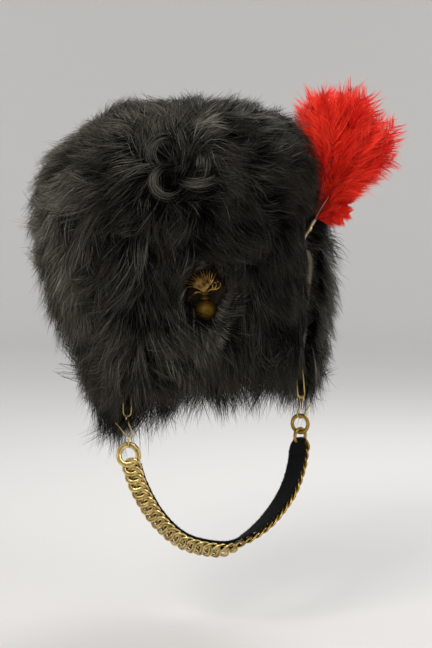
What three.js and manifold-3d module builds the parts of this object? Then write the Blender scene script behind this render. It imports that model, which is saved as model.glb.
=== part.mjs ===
// Tall parade cap of long black fur, with a red feather plume on the wearer's left, a brass
// grenade badge in front, and a brass curb chain on a black strap that hangs under the chin.
// Millimetres, +Z up, the front faces -Y and the wearer's left is +X. The origin is the centre
// of the head opening, in the plane of the rim.
import * as THREE from 'three';
import { mergeVertices } from 'three/addons/utils/BufferGeometryUtils.js';
import Module from 'manifold-3d';

const wasm = await Module();
wasm.setup();

// ---- Driving dimensions ----
const GAP = 0.3; // clearance that neighbouring pieces keep
const HUNG_GAP = 0.5; // clearance where one wire hangs in another
const CURB_GAP = 1.2; // the same where one of the two is a curb link, which leaves its plane
const LEAN = THREE.MathUtils.degToRad(5); // the cap is worn tipped to the wearer's right
const AROUND = 48; // points around each section of the shell and the fur

const BAND = { halfWidth: 82, halfDepth: 101, thickness: 1.8, top: 30, hem: -2 };
const TAB = { drop: 36, halfAngle: 17, ease: 9 }; // side tabs of the band, angles in degrees
const SHELL_WALL = 3;
const SHELL_CROWN = 239; // height of the shell's outer pole
const FUR_SEAT = 0.5; // gap from the shell to the pelts
const SNUG = 0.4; // gap of a piece that is sewn or slid on to a curved one
const PARTING = { y: -12, width: 9, top: 196 }; // groove between the pelts, at both sides
const STRIP_WIDTH = 7; // of the welt in the parting, front to back
const WIRE = 0.9; // radius of the loops' and hooks' wire

const CHAIN = {
  links: 34,
  reach: 7.2, // half length of a link's centre line
  half: 8.7, // half width of a link's centre line
  curb: 1.55, // how far a link's corners are turned out of its plane
  wire: 1.15, // radius
  firstAt: 13, // from the end ring's centre to the first link's
};
const END_RING = { reach: 10.7, half: 10.7, curb: 1.5, wire: 1.7 };
const WIRE_LINK = { halfWidth: 3.8, wire: 0.6, forward: 0.4 };
// Plain rings between the left hook and the chain; yaw turns their faces from the front.
const RING_UPPER = { radius: 8.9, radial: 1.8, axial: 1.05, yaw: -28 };
const RING_LOWER = { radius: 7.4, radial: 1.6, axial: 1.05, yaw: 40 };
const STRAP = { width: 19, thickness: 1.8, behind: 4.9, from: 9.5, beyond: 0 };

// Outer sections of the shell: height above the rim, half width and half depth.
const SHELL_SECTIONS = [
  { level: 0, halfWidth: 87.3, halfDepth: 106.3 },
  { level: 60, halfWidth: 88.5, halfDepth: 108 },
  { level: 120, halfWidth: 92, halfDepth: 110.5 },
  { level: 175, halfWidth: 95, halfDepth: 112 },
  { level: 205, halfWidth: 92, halfDepth: 108 },
  { level: 224, halfWidth: 80, halfDepth: 94 },
  { level: 234, halfWidth: 58, halfDepth: 70 },
];

// Welt in the parting on the wearer's left, where the hides are sewn edge to edge: how far its
// bare outer face stands from the middle of the cap.
const WELT = [
  { z: 3, out: 91 },
  { z: 32, out: 99 },
  { z: 62, out: 103.5 },
  { z: 85, out: 108.5 },
  { z: 100, out: 112 },
  { z: 112, out: 111 },
  { z: 116.6, out: 108 },
];

// Outer form of the fur, from the hem up: how far it reaches to the wearer's right (toRight),
// to the wearer's left in the front and in the back pelt, to the front and to the back. A
// section tilts up by `tilt` for each millimetre towards the wearer's right.
const FUR_SECTIONS = [
  { level: 0, toRight: 107, toLeftFront: 92, toLeftBack: 100, front: 115, back: 116, tilt: 0 },
  { level: 12, toRight: 127, toLeftFront: 94, toLeftBack: 113, front: 126, back: 128, tilt: 0 },
  { level: 30, toRight: 135, toLeftFront: 95, toLeftBack: 121, front: 135, back: 137, tilt: 0 },
  { level: 52, toRight: 139, toLeftFront: 98, toLeftBack: 128, front: 142, back: 144, tilt: 0 },
  { level: 75, toRight: 154, toLeftFront: 102, toLeftBack: 133, front: 149, back: 150, tilt: 0 },
  { level: 110, toRight: 166, toLeftFront: 106, toLeftBack: 135, front: 155, back: 154, tilt: 0 },
  { level: 150, toRight: 169, toLeftFront: 116, toLeftBack: 131, front: 158, back: 155, tilt: 0 },
  { level: 185, toRight: 169, toLeftFront: 124, toLeftBack: 127, front: 155, back: 152, tilt: 0 },
  { level: 214, toRight: 161, toLeftFront: 124, toLeftBack: 124, front: 148, back: 146, tilt: 0.02 },
  { level: 238, toRight: 139, toLeftFront: 120, toLeftBack: 120, front: 136, back: 134, tilt: 0.05 },
  { level: 258, toRight: 108, toLeftFront: 107, toLeftBack: 107, front: 114, back: 112, tilt: 0.07 },
  { level: 275, toRight: 78, toLeftFront: 64, toLeftBack: 64, front: 78, back: 78, tilt: 0.09 },
];
const FUR_POLE = { x: -15, level: 285 };
const HEM_FIXED_FROM = 75; // level above which the hem's rise and fall no longer shows
const FUR_SQUARENESS = 2.25; // exponent of the superellipse that a section follows

// Lowest edge of each pelt at angles from the front, positive to the wearer's left.
const HEMS = {
  front: [
    { angle: -180, z: -6 },
    { angle: -55, z: -7 },
    { angle: 0, z: 1 },
    { angle: 50, z: -8 },
    { angle: 180, z: -6 },
  ],
  back: [
    { angle: -180, z: -38 },
    { angle: -135, z: -46 },
    { angle: -104, z: -57 },
    { angle: -90, z: -48 },
    { angle: 94, z: -12 },
    { angle: 106, z: -42 },
    { angle: 180, z: -38 },
  ],
};

// Hollows in the fur's outer form, on the front.
const DENTS = [
  { name: 'whorl', x: -28, z: 198, radius: 34, depth: 11 },
  { name: 'brow', x: 0, z: 112, radius: 30, depth: 6 },
  { name: 'left break', x: 70, z: 70, radius: 26, depth: 6 },
];

const BADGE = {
  z: 69, // centre of the ball
  ball: 11,
  standOff: 12, // from the shell to the ball's centre
  neck: { radius: 4.2, height: 8, sunk: 2 },
  rings: { out: 1.2, height: 2, heights: [0.4, 5] }, // raised rings, heights above the ball
  flame: { radius: 2.6, taper: 0.55, flatness: 0.7 },
  shank: 2.2,
};
// Tongues of flame, fanned about the neck: angle from straight up, length and bend in degrees.
const FLAMES = [
  { angle: -102, length: 15, bend: -50 },
  { angle: -72, length: 19, bend: -18 },
  { angle: -52, length: 21, bend: 14 },
  { angle: -33, length: 24, bend: -12 },
  { angle: -15, length: 26, bend: 14 },
  { angle: 3, length: 27, bend: -10 },
  { angle: 21, length: 26, bend: 12 },
  { angle: 40, length: 23, bend: -14 },
  { angle: 60, length: 20, bend: 16 },
  { angle: 82, length: 17, bend: 60 },
];
// Bowl cut through the front pelt around the badge: its half sizes at the shell, and how far it
// widens outwards.
const RECESS = { z: 86, halfWidth: 23, halfHeight: 32, bite: 5, depth: 60, flare: 1.25 };
const RECESS_FOOT = { width: 0.86, depth: 7 }; // the bowl narrows to this share at the shell

// Route of the chin chain: centre line and how far its outer face turns to the front.
const CHAIN_ROUTE = [
  { x: -87, y: -13, z: -85.4, turn: 74 },
  { x: -76.9, y: -20, z: -116.7, turn: 66 },
  { x: -56.5, y: -34, z: -148.7, turn: 60 },
  { x: -29.4, y: -50, z: -168.7, turn: 55 },
  { x: 3, y: -60, z: -174.5, turn: 49 },
  { x: 16, y: -60.5, z: -173, turn: 32 },
  { x: 33, y: -58, z: -165, turn: 2 },
  { x: 56, y: -46, z: -148.5, turn: -24 },
  { x: 77, y: -29, z: -121.5, turn: -44 },
  { x: 86, y: -18.5, z: -98, turn: -54 },
];
const CHAIN_END_TURN = -64; // of the last link, which hangs in the lower ring

// Wire hook, from its eye down to the bend and up to the free end: sideways towards the head,
// and up, from the eye's centre. The other side's hook is its mirror image.
const HOOK_BODY = [
  { in: 1.5, up: -6.2 },
  { in: 4.1, up: -12.3 },
  { in: 4.9, up: -16.6 },
  { in: 1.6, up: -20.2 },
  { in: -2, up: -17.6 },
  { in: -6.1, up: -12.3 },
  { in: -12.3, up: -5.1 },
];
const HOOK_EYE = { radius: 3, from: 220, to: -50, spread: 1.1 };
// Wire loops at the band. The right one hangs straight down; the band pushes the left one out.
const LOOP = { halfWidth: 4.2, top: -1.6 };
const SIDES = [
  { name: 'right', side: -1, yaw: 0, loopHeight: 37, tilt: 0 },
  { name: 'left', side: 1, yaw: 30, loopHeight: 33, tilt: LEAN },
];

// Plume masses in the plane of the parting: the spine, and the half width across it.
const PLUME_MASSES = {
  plume_upper: [
    { x: 117.6, z: 148, across: 2 },
    { x: 122, z: 170, across: 9 },
    { x: 129, z: 205, across: 18 },
    { x: 135, z: 238, across: 27 },
    { x: 140, z: 261, across: 29 },
    { x: 144, z: 279, across: 15 },
  ],
  plume_outer: [
    { x: 120, z: 149.5, across: 2 },
    { x: 140, z: 178, across: 10 },
    { x: 161, z: 207, across: 20 },
    { x: 177, z: 231, across: 28 },
    { x: 191, z: 245, across: 25 },
    { x: 203, z: 252, across: 11 },
  ],
  plume_lower: [
    { x: 121, z: 146.5, across: 2 },
    { x: 136, z: 158, across: 8 },
    { x: 155, z: 172, across: 15 },
    { x: 176, z: 187, across: 17 },
    { x: 193, z: 196, across: 8 },
  ],
};
const PLUME_DEPTH = 0.85; // a mass's depth, front to back, over its width
const STEM = { radius: 1.6 };
// Route of the quill, in the plane of the parting.
const STEM_ROUTE = [
  { x: 104, z: 118 },
  { x: 103.9, z: 127 },
  { x: 107.5, z: 133 },
  { x: 112, z: 139.5 },
  { x: 117.3, z: 146.4 },
];
const SOCKET = { radius: 3.4, from: 117, to: 126.5 };
const FERRULE = { radius: 2.9, from: 0.56, to: 0.74 }; // shares of the quill's length

// ---- Helpers ----
const rad = THREE.MathUtils.degToRad;
const v2 = (x, y) => new THREE.Vector2(x, y);
const v3 = (x, y, z) => new THREE.Vector3(x, y, z);

/** Closed surface through rings of points; a ring of one point is a pole. */
function skin(rings, { loop = false } = {}) {
  const positions = rings.flat().flatMap((p) => [p.x, p.y, p.z]);
  const starts = [];
  let count = 0;
  for (const ring of rings) {
    starts.push(count);
    count += ring.length;
  }
  const index = [];
  const last = loop ? rings.length : rings.length - 1;
  for (let r = 0; r < last; r++) {
    const [a, b] = [rings[r], rings[(r + 1) % rings.length]];
    const [aStart, bStart] = [starts[r], starts[(r + 1) % rings.length]];
    for (let i = 0; i < Math.max(a.length, b.length); i++) {
      const [a0, a1] = [aStart + (i % a.length), aStart + ((i + 1) % a.length)];
      const [b0, b1] = [bStart + (i % b.length), bStart + ((i + 1) % b.length)];
      if (a.length > 1) index.push(a0, a1, b0);
      if (b.length > 1) index.push(a1, b1, b0);
    }
  }
  const geometry = new THREE.BufferGeometry();
  geometry.setAttribute('position', new THREE.Float32BufferAttribute(positions, 3));
  geometry.setIndex(index);
  return facingOut(geometry);
}

/** Turns the faces over if the surface encloses a negative volume. */
function facingOut(geometry) {
  const [p, index] = [geometry.attributes.position, geometry.index];
  const corner = (i) => v3().fromBufferAttribute(p, index.getX(i));
  let volume = 0;
  for (let i = 0; i < index.count; i += 3) {
    volume += corner(i).dot(corner(i + 1).cross(corner(i + 2)));
  }
  if (volume < 0) index.array.reverse();
  geometry.computeVertexNormals();
  return geometry;
}

/** manifold-3d solid of a closed geometry. */
function solid(geometry) {
  const bare = geometry.clone();
  bare.deleteAttribute('normal');
  bare.deleteAttribute('uv');
  const merged = mergeVertices(bare, 1e-4);
  return new wasm.Manifold(
    new wasm.Mesh({
      numProp: 3,
      vertProperties: new Float32Array(merged.attributes.position.array),
      triVerts: new Uint32Array(merged.index.array),
    }),
  );
}

/** three.js geometry of a manifold-3d solid. */
function geometryOf(manifold) {
  const { vertProperties, triVerts } = manifold.getMesh();
  const geometry = new THREE.BufferGeometry();
  geometry.setAttribute('position', new THREE.BufferAttribute(vertProperties, 3));
  geometry.setIndex(new THREE.BufferAttribute(triVerts, 1));
  geometry.computeVertexNormals();
  return geometry;
}

/** Value of column `key` in a table, by straight lines between the rows of column `at`. */
function lookUp(table, at, value, key) {
  const upper = table.findIndex((row) => row[at] >= value);
  if (upper < 0) return table[table.length - 1][key];
  if (upper === 0) return table[0][key];
  const [a, b] = [table[upper - 1], table[upper]];
  return THREE.MathUtils.mapLinear(value, a[at], b[at], a[key], b[key]);
}

const regularPolygon = (radius, sides) => {
  const corners = [];
  for (let i = 0; i < sides; i++) {
    const t = (2 * Math.PI * i) / sides;
    corners.push(new THREE.Vector2(radius * Math.cos(t), radius * Math.sin(t)));
  }
  return corners;
};

/** Round wire, or a tube with a hole, along an open curve. */
function wire(curve, radius, steps, { sides = 6, hole = 0 } = {}) {
  const section = new THREE.Shape(regularPolygon(radius, sides));
  if (hole) section.holes.push(new THREE.Path(regularPolygon(hole, sides)));
  return new THREE.ExtrudeGeometry(section, { extrudePath: curve, steps, bevelEnabled: false });
}

function material(color, roughness, metalness) {
  return new THREE.MeshStandardMaterial({ color, roughness, metalness });
}
const FINISH = {
  fur: () => material(0x17130f, 0.75, 0),
  hide: () => material(0x4a4438, 0.85, 0),
  leather: () => material(0x0d0c0c, 0.55, 0),
  velvet: () => material(0x08080b, 0.9, 0),
  feather: () => material(0xc41c12, 0.7, 0),
  quill: () => material(0xcdb48a, 0.6, 0),
  brass: () => material(0xc9a55c, 0.32, 1),
  agedBrass: () => material(0x8f6a30, 0.42, 1),
};

const cap = new THREE.Group(); // tipped by LEAN
const hanging = new THREE.Group(); // hangs straight down from the cap
const add = (group, name, geometry, finish) => {
  const mesh = new THREE.Mesh(geometry, finish());
  mesh.name = name;
  group.add(mesh);
  return mesh;
};

// ---- Shell ----
/** Ring of the shell's outer surface, grown outwards by `out`. */
function shellRing({ level, halfWidth, halfDepth }, out = 0, up = 0) {
  return Array.from({ length: AROUND }, (_, i) => {
    const t = (2 * Math.PI * i) / AROUND;
    return v3((halfWidth + out) * Math.sin(t), -(halfDepth + out) * Math.cos(t), level + up);
  });
}

/** Rings from the rim to the pole, `out` outside the shell's outer surface. */
function domeRings(out) {
  const crown = SHELL_SECTIONS.length - 2; // the sections from here on face mostly upwards
  const rings = SHELL_SECTIONS.map((section, i) =>
    shellRing(section, out, i === 0 ? 0 : out * Math.min(1, i / crown)),
  );
  return [...rings, [v3(0, 0, SHELL_CROWN + out)]];
}

function capShell() {
  return skin([...domeRings(-SHELL_WALL).reverse(), ...domeRings(0)]);
}

// ---- Headband with its side tabs ----
function headband() {
  const steps = 60;
  const rows = 2;
  const { halfWidth, halfDepth, thickness, top, hem } = BAND;
  const sections = [];
  for (let i = 0; i < steps; i++) {
    const angle = (360 * i) / steps;
    const fromSide = Math.abs(90 - (angle % 180));
    const hang = 1 - THREE.MathUtils.smoothstep(fromSide, TAB.halfAngle - TAB.ease, TAB.halfAngle);
    const low = hem - (TAB.drop + hem) * hang;
    const at = (out, z) =>
      v3((halfWidth + out) * Math.sin(rad(angle)), -(halfDepth + out) * Math.cos(rad(angle)), z);
    const section = [];
    for (let r = 0; r <= rows; r++) section.push(at(0, THREE.MathUtils.lerp(low, top, r / rows)));
    for (let r = rows; r >= 0; r--) {
      section.push(at(thickness, THREE.MathUtils.lerp(low, top, r / rows)));
    }
    sections.push(section);
  }
  return skin(sections, { loop: true });
}

// ---- Fur ----
/** Ring of the fur's outer form, grown outwards by `grow`. */
function furRing(row, pelt, grow) {
  const toLeft = pelt === 'front' ? row.toLeftFront : row.toLeftBack;
  const middle = (toLeft - row.toRight) / 2;
  const halfWidth = (toLeft + row.toRight) / 2 + grow;
  const power = 2 / FUR_SQUARENESS;
  return Array.from({ length: AROUND }, (_, i) => {
    const t = (2 * Math.PI * i) / AROUND;
    const [s, c] = [Math.sin(t), Math.cos(t)];
    const depth = (c > 0 ? row.front : row.back) + grow;
    const point = v3(
      middle + halfWidth * Math.sign(s) * Math.abs(s) ** power,
      -depth * Math.sign(c) * Math.abs(c) ** power,
      row.level,
    );
    const angle = THREE.MathUtils.radToDeg(t > Math.PI ? t - 2 * Math.PI : t);
    const hem = lookUp(HEMS[pelt], 'angle', angle, 'z');
    if (row.level < HEM_FIXED_FROM) {
      point.z = THREE.MathUtils.mapLinear(row.level, 0, HEM_FIXED_FROM, hem, HEM_FIXED_FROM);
    }
    point.z -= row.tilt * (point.x - FUR_POLE.x);
    for (const dent of DENTS) {
      const away = Math.hypot(point.x - dent.x, point.z - dent.z) / dent.radius;
      if (point.y < 0) point.y += dent.depth * Math.exp(-(away ** 2));
    }
    return point;
  });
}

/** The fur's outer form as rings from the hem to the pole. */
function furRings(pelt, grow = 0) {
  const rings = FUR_SECTIONS.map((row) => furRing(row, pelt, grow));
  return [...rings, [v3(FUR_POLE.x, 0, FUR_POLE.level + grow)]];
}

/** One pelt all round, before the parting divides it: a thick dome over the shell. */
function wholePelt(pelt) {
  const outer = furRings(pelt);
  const inner = domeRings(FUR_SEAT);
  // Below the rim the inner wall drops straight from the shell to the hem.
  inner[0] = inner[0].map((p, i) => v3(p.x, p.y, outer[0][i].z));
  const justAbove = 4;
  inner.splice(1, 0, shellRing(SHELL_SECTIONS[0], FUR_SEAT, justAbove));
  return solid(skin([...inner.reverse(), ...outer]));
}

/** Block behind the plane y, up to the height top. */
function blockBehind(y, top) {
  const size = 1000;
  const block = new THREE.BoxGeometry(size, size, size);
  block.translate(0, y + size / 2, top - size / 2);
  return solid(block);
}

function badgeRecess() {
  const { z, halfWidth, halfHeight, bite, depth, flare } = RECESS;
  const foot = RECESS_FOOT;
  const profile = [v2(0, -bite), v2(foot.width, -bite), v2(1, foot.depth)];
  profile.push(v2(flare, depth), v2(0, depth));
  const bowl = new THREE.LatheGeometry(profile, 24).rotateX(Math.PI);
  bowl.scale(halfWidth, 1, halfHeight);
  bowl.translate(0, -shellFront(z), z);
  return solid(bowl);
}

const shellFront = (z) => lookUp(SHELL_SECTIONS, 'level', z, 'halfDepth');
const shellSide = (z) =>
  lookUp(SHELL_SECTIONS, 'level', z, 'halfWidth') *
  Math.sqrt(1 - (PARTING.y / lookUp(SHELL_SECTIONS, 'level', z, 'halfDepth')) ** 2);

function furFront() {
  const { y, width, top } = PARTING;
  return geometryOf(
    wholePelt('front')
      .subtract(blockBehind(y - width / 2, top + GAP))
      .subtract(badgeRecess()),
  );
}

function furBack() {
  const { y, width, top } = PARTING;
  return geometryOf(wholePelt('back').intersect(blockBehind(y + width / 2, top)));
}

// ---- Welt in the parting on the wearer's left ----
function seamStrip() {
  const [front, back] = [PARTING.y - STRIP_WIDTH / 2, PARTING.y + STRIP_WIDTH / 2];
  const rings = WELT.map(({ z, out }) => {
    const inner = shellSide(z) + SNUG;
    return [v3(inner, front, z), v3(out, front, z), v3(out, back, z), v3(inner, back, z)];
  });
  const middle = (ring) => ring.reduce((sum, p) => sum.add(p), v3(0, 0, 0)).divideScalar(4);
  return skin([[middle(rings[0])], ...rings, [middle(rings[rings.length - 1])]]);
}

// ---- Plume ----
const inParting = ({ x, z }) => v3(x, PARTING.y, z);
const stemCurve = new THREE.CatmullRomCurve3(STEM_ROUTE.map(inParting));

function plumeSocket() {
  const axis = new THREE.LineCurve3(
    inParting({ x: STEM_ROUTE[0].x, z: SOCKET.from }),
    inParting({ x: STEM_ROUTE[0].x, z: SOCKET.to }),
  );
  return wire(axis, SOCKET.radius, 1, { sides: 12, hole: STEM.radius + 2 * GAP });
}

function plumeFerrule() {
  const points = [0, 0.25, 0.5, 0.75, 1].map((share) =>
    stemCurve.getPointAt(THREE.MathUtils.lerp(FERRULE.from, FERRULE.to, share)),
  );
  const curve = new THREE.CatmullRomCurve3(points);
  return wire(curve, FERRULE.radius, 4, { sides: 12, hole: STEM.radius + SNUG });
}

/** Feather mass about its spine, grown by `grow`. */
function plumeMass(rows, grow = 0) {
  const sides = 12;
  const spine = new THREE.CatmullRomCurve3(rows.map(inParting));
  const rings = rows.map((row, i) => {
    const share = i / (rows.length - 1);
    const along = spine.getTangent(share);
    const across = v3(along.z, 0, -along.x).normalize();
    return regularPolygon(row.across + grow, sides).map(({ x, y }) =>
      inParting(row)
        .addScaledVector(across, x)
        .add(v3(0, y * PLUME_DEPTH, 0)),
    );
  });
  const end = (row, along) => [inParting(row).addScaledVector(along, row.across / 2 + grow)];
  return solid(
    skin([
      end(rows[0], spine.getTangent(0).negate()),
      ...rings,
      end(rows[rows.length - 1], spine.getTangent(1)),
    ]),
  );
}

/** The masses, each cut back where the fur or an earlier mass already is. */
function plumeMasses() {
  const filled = (pelt) => solid(skin([[v3(0, 0, 0)], ...furRings(pelt, 2 * GAP)]));
  const behind = blockBehind(PARTING.y + PARTING.width / 2 - GAP, PARTING.top + GAP);
  const taken = [filled('front'), filled('back').intersect(behind)];
  return Object.entries(PLUME_MASSES).map(([name, rows]) => {
    const mass = taken.reduce((left, other) => left.subtract(other), plumeMass(rows));
    taken.push(plumeMass(rows, 2 * GAP));
    const largest = mass.decompose().sort((a, b) => b.volume() - a.volume())[0];
    return [name, geometryOf(largest)];
  });
}

// ---- Grenade badge ----
/** One tongue of flame: a tapering wire that bends as it rises. */
function flame({ angle, length, bend }, root) {
  const steps = 4;
  const sides = 5;
  const centre = root.clone();
  const rings = [];
  for (let i = 0; i < steps; i++) {
    const heading = rad(angle + (bend * i) / steps);
    const along = v3(Math.sin(heading), 0, Math.cos(heading));
    const across = v3(along.z, 0, -along.x);
    const radius = BADGE.flame.radius * (1 - (BADGE.flame.taper * i) / steps);
    rings.push(
      regularPolygon(radius, sides).map(({ x, y }) =>
        centre.clone().addScaledVector(across, x).add(v3(0, BADGE.flame.flatness * y, 0)),
      ),
    );
    centre.addScaledVector(along, length / steps);
  }
  return solid(skin([[root], ...rings, [centre]]));
}

function grenadeBadge() {
  const { z, ball, standOff, neck, rings, shank } = BADGE;
  const y = -(shellFront(z) + standOff);
  const at = (geometry, dz, dy = 0) => solid(geometry.translate(0, y + dy, z + dz));
  const upright = (radius, height) =>
    new THREE.CylinderGeometry(radius, radius, height, 10).rotateX(Math.PI / 2);
  const neckTop = ball + neck.height - neck.sunk;
  const root = v3(0, y, z + neckTop);
  const shankLength = standOff - 2 * GAP;
  const bodies = [
    at(new THREE.SphereGeometry(ball, 14, 9).rotateX(Math.PI / 2), 0),
    at(upright(neck.radius, neck.height), neckTop - neck.height / 2),
    ...rings.heights.map((up) => at(upright(neck.radius + rings.out, rings.height), ball + up)),
    at(new THREE.CylinderGeometry(shank, shank, shankLength, 8), 0, shankLength / 2),
    ...FLAMES.map((row) => flame(row, root)),
  ];
  return geometryOf(bodies.reduce((all, body) => all.add(body)));
}

// ---- Chain ----
/** Closed curb link: an oval whose corners are turned in and out of its plane. */
class CurbLoop extends THREE.Curve {
  constructor({ reach, half, curb }) {
    super();
    Object.assign(this, { reach, half, curb });
  }
  getPoint(share, target = v3()) {
    const t = 2 * Math.PI * share;
    return target.set(
      this.reach * Math.cos(t),
      this.half * Math.sin(t),
      -this.curb * Math.sin(2 * t),
    );
  }
}
const curbLink = (link, steps) =>
  new THREE.TubeGeometry(new CurbLoop(link), steps, link.wire, 5, true);

// ---- Where the hooks hang, and the route between them ----
const fromBand = BAND.thickness + GAP + WIRE;
const bandSide = (BAND.halfWidth + fromBand) * Math.sqrt(1 - (PARTING.y / BAND.halfDepth) ** 2);

/** Places of a side's loop and hook: the loop's centre, its lowest point and the hook's bend. */
function hangingFrom({ side, yaw, loopHeight, tilt }) {
  const up = v3(0, 0, 1).applyAxisAngle(v3(0, 1, 0), -tilt);
  const out = side * (bandSide + LOOP.halfWidth * Math.cos(rad(yaw)));
  const top = v3(out, PARTING.y, LOOP.top).applyAxisAngle(v3(0, 1, 0), -LEAN);
  const loop = top.clone().addScaledVector(up, -loopHeight / 2);
  const bottom = top.clone().addScaledVector(up, -loopHeight);
  const eye = bottom.clone().add(v3(0, 0, 2 * WIRE + HUNG_GAP - HOOK_EYE.radius));
  const lowest = HOOK_BODY.reduce((low, row) => (row.up < low.up ? row : low));
  const bend = v3(-side * lowest.in, 0, lowest.up).applyAxisAngle(v3(0, 0, 1), side * rad(yaw));
  return { loop, eye, bend: bend.add(eye) };
}
const [RIGHT, LEFT] = SIDES.map(hangingFrom);

/** Centre of a ring that hangs from something `radius` thick whose middle is at `from`. */
const hungRing = (from, radius, ring) =>
  from.clone().add(v3(0, 0, radius + HUNG_GAP + ring.radial - ring.radius));
const upperCentre = hungRing(LEFT.bend, WIRE, RING_UPPER);
const upperLowest = upperCentre.clone().sub(v3(0, 0, RING_UPPER.radius));
const lowerCentre = hungRing(upperLowest, RING_UPPER.radial, RING_LOWER);
const lastLink = lowerCentre
  .clone()
  .sub(v3(0, 0, RING_LOWER.radius - RING_LOWER.radial - CHAIN.wire - CURB_GAP + CHAIN.reach));

const ROUTE_ROWS = [...CHAIN_ROUTE, { ...lastLink, turn: CHAIN_END_TURN }];
const route = new THREE.CatmullRomCurve3(ROUTE_ROWS.map(({ x, y, z }) => v3(x, y, z)));
const routeLength = route.getLength();

/** Frame at a distance along the chain: x along it, z its outer face, turned by the table. */
function chainFrame(distance) {
  const share = THREE.MathUtils.clamp(distance / routeLength, 0, 1);
  const row = route.getUtoTmapping(share) * (ROUTE_ROWS.length - 1);
  const before = ROUTE_ROWS[Math.floor(row)];
  const after = ROUTE_ROWS[Math.min(Math.floor(row) + 1, ROUTE_ROWS.length - 1)];
  const turn = rad(THREE.MathUtils.lerp(before.turn, after.turn, row % 1));
  const along = route.getTangentAt(share);
  const outward = v3(along.z, 0, -along.x).normalize();
  const face = outward.multiplyScalar(Math.cos(turn)).add(v3(0, -Math.sin(turn), 0));
  face.addScaledVector(along, -face.dot(along)).normalize();
  const across = face.clone().cross(along);
  const centre = route.getPointAt(share).addScaledVector(along, distance - share * routeLength);
  return new THREE.Matrix4().makeBasis(along, across, face).setPosition(centre);
}

function chainStrap() {
  const steps = 60;
  const { width, thickness, behind, from, beyond } = STRAP;
  const to = routeLength + beyond;
  const [w, t] = [width / 2, thickness / 2];
  const section = [
    [-w, 0], [-w + t, -t], [w - t, -t], [w, 0], [w - t, t], [-w + t, t],
  ];
  const rings = [];
  for (let i = 0; i <= steps; i++) {
    const distance = THREE.MathUtils.lerp(from, to, i / steps);
    const frame = chainFrame(distance);
    rings.push(section.map(([y, z]) => v3(0, y, z - behind).applyMatrix4(frame)));
  }
  const end = (distance) => [v3(0, 0, -behind).applyMatrix4(chainFrame(distance))];
  return skin([end(from), ...rings, end(to)]);
}

/** Plain ring of oval section that faces the front. */
function plainRing({ radius, radial, axial }) {
  const profile = regularPolygon(1, 6).map(({ x, y }) => v2(radius + x * radial, y * axial));
  profile.push(profile[0].clone());
  return new THREE.LatheGeometry(profile, 24);
}

// ---- Loops, hooks and the wire link ----
/** Upright oval of wire in the X-Z plane. */
class UprightOval extends THREE.Curve {
  constructor(halfWidth, halfHeight) {
    super();
    Object.assign(this, { halfWidth, straight: halfHeight - halfWidth });
  }
  getPoint(share, target = v3()) {
    const t = 2 * Math.PI * share;
    const sidesShare = 0.25; // of the sine's height, over which the straight sides run
    const rise = THREE.MathUtils.clamp(Math.sin(t) / sidesShare, -1, 1) * this.straight;
    return target.set(this.halfWidth * Math.cos(t), 0, this.halfWidth * Math.sin(t) + rise);
  }
}
const oval = (halfWidth, halfHeight, radius, steps) =>
  new THREE.TubeGeometry(new UprightOval(halfWidth, halfHeight), steps, radius, 6, true);

function hook(side) {
  const { radius, from, to, spread } = HOOK_EYE;
  const points = [];
  const turns = 7;
  for (let i = 0; i <= turns; i++) {
    const share = i / turns;
    const t = rad(THREE.MathUtils.lerp(from, to, share));
    const shift = THREE.MathUtils.lerp(-spread, spread, share);
    points.push(v3(-side * shift, radius * Math.cos(t), radius * Math.sin(t)));
  }
  points.push(...HOOK_BODY.map((row) => v3(-side * row.in, 0, row.up)));
  return wire(new THREE.CatmullRomCurve3(points), WIRE, 44, { sides: 5 });
}

// ---- Assembly ----
add(cap, 'cap_shell', capShell(), FINISH.hide);
add(cap, 'headband', headband(), FINISH.leather);
add(cap, 'fur_front', furFront(), FINISH.fur);
add(cap, 'fur_back', furBack(), FINISH.fur);
add(cap, 'seam_strip', seamStrip(), FINISH.hide);
add(cap, 'plume_socket', plumeSocket(), FINISH.leather);
add(cap, 'plume_ferrule', plumeFerrule(), FINISH.agedBrass);
add(cap, 'plume_stem', wire(stemCurve, STEM.radius, 16, { sides: 8 }), FINISH.quill);
for (const [name, geometry] of plumeMasses()) add(cap, name, geometry, FINISH.feather);
add(cap, 'grenade_badge', grenadeBadge(), FINISH.agedBrass);
cap.rotation.y = -LEAN;
cap.updateMatrixWorld();

const place = (mesh, position, tilt, yaw) => {
  mesh.position.copy(position);
  mesh.rotation.set(0, -tilt, rad(yaw), 'YZX');
};
for (const [i, { name, side, yaw, loopHeight, tilt }] of SIDES.entries()) {
  const { loop, eye } = [RIGHT, LEFT][i];
  const metal = name === 'right' ? FINISH.brass : FINISH.agedBrass;
  const loopShape = oval(LOOP.halfWidth, loopHeight / 2, WIRE, 24);
  place(add(hanging, `loop_${name}`, loopShape, FINISH.agedBrass), loop, tilt, side * yaw);
  place(add(hanging, `hook_${name}`, hook(side), metal), eye, 0, side * yaw);
}

const linkTop = RIGHT.bend.z + WIRE + HUNG_GAP + WIRE_LINK.wire;
const linkBottom = CHAIN_ROUTE[0].z + END_RING.reach - END_RING.wire - CURB_GAP - WIRE_LINK.wire;
const wireLink = oval(WIRE_LINK.halfWidth, (linkTop - linkBottom) / 2, WIRE_LINK.wire, 20);
const linkMiddle = RIGHT.bend.clone().setZ((linkTop + linkBottom) / 2);
linkMiddle.y -= WIRE_LINK.forward;
place(add(hanging, 'wire_link', wireLink, FINISH.brass), linkMiddle, 0, 90);
const ringUpper = add(hanging, 'ring_upper', plainRing(RING_UPPER), FINISH.agedBrass);
place(ringUpper, upperCentre, 0, RING_UPPER.yaw);
const ringLower = add(hanging, 'ring_lower', plainRing(RING_LOWER), FINISH.agedBrass);
place(ringLower, lowerCentre, 0, RING_LOWER.yaw);

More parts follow.
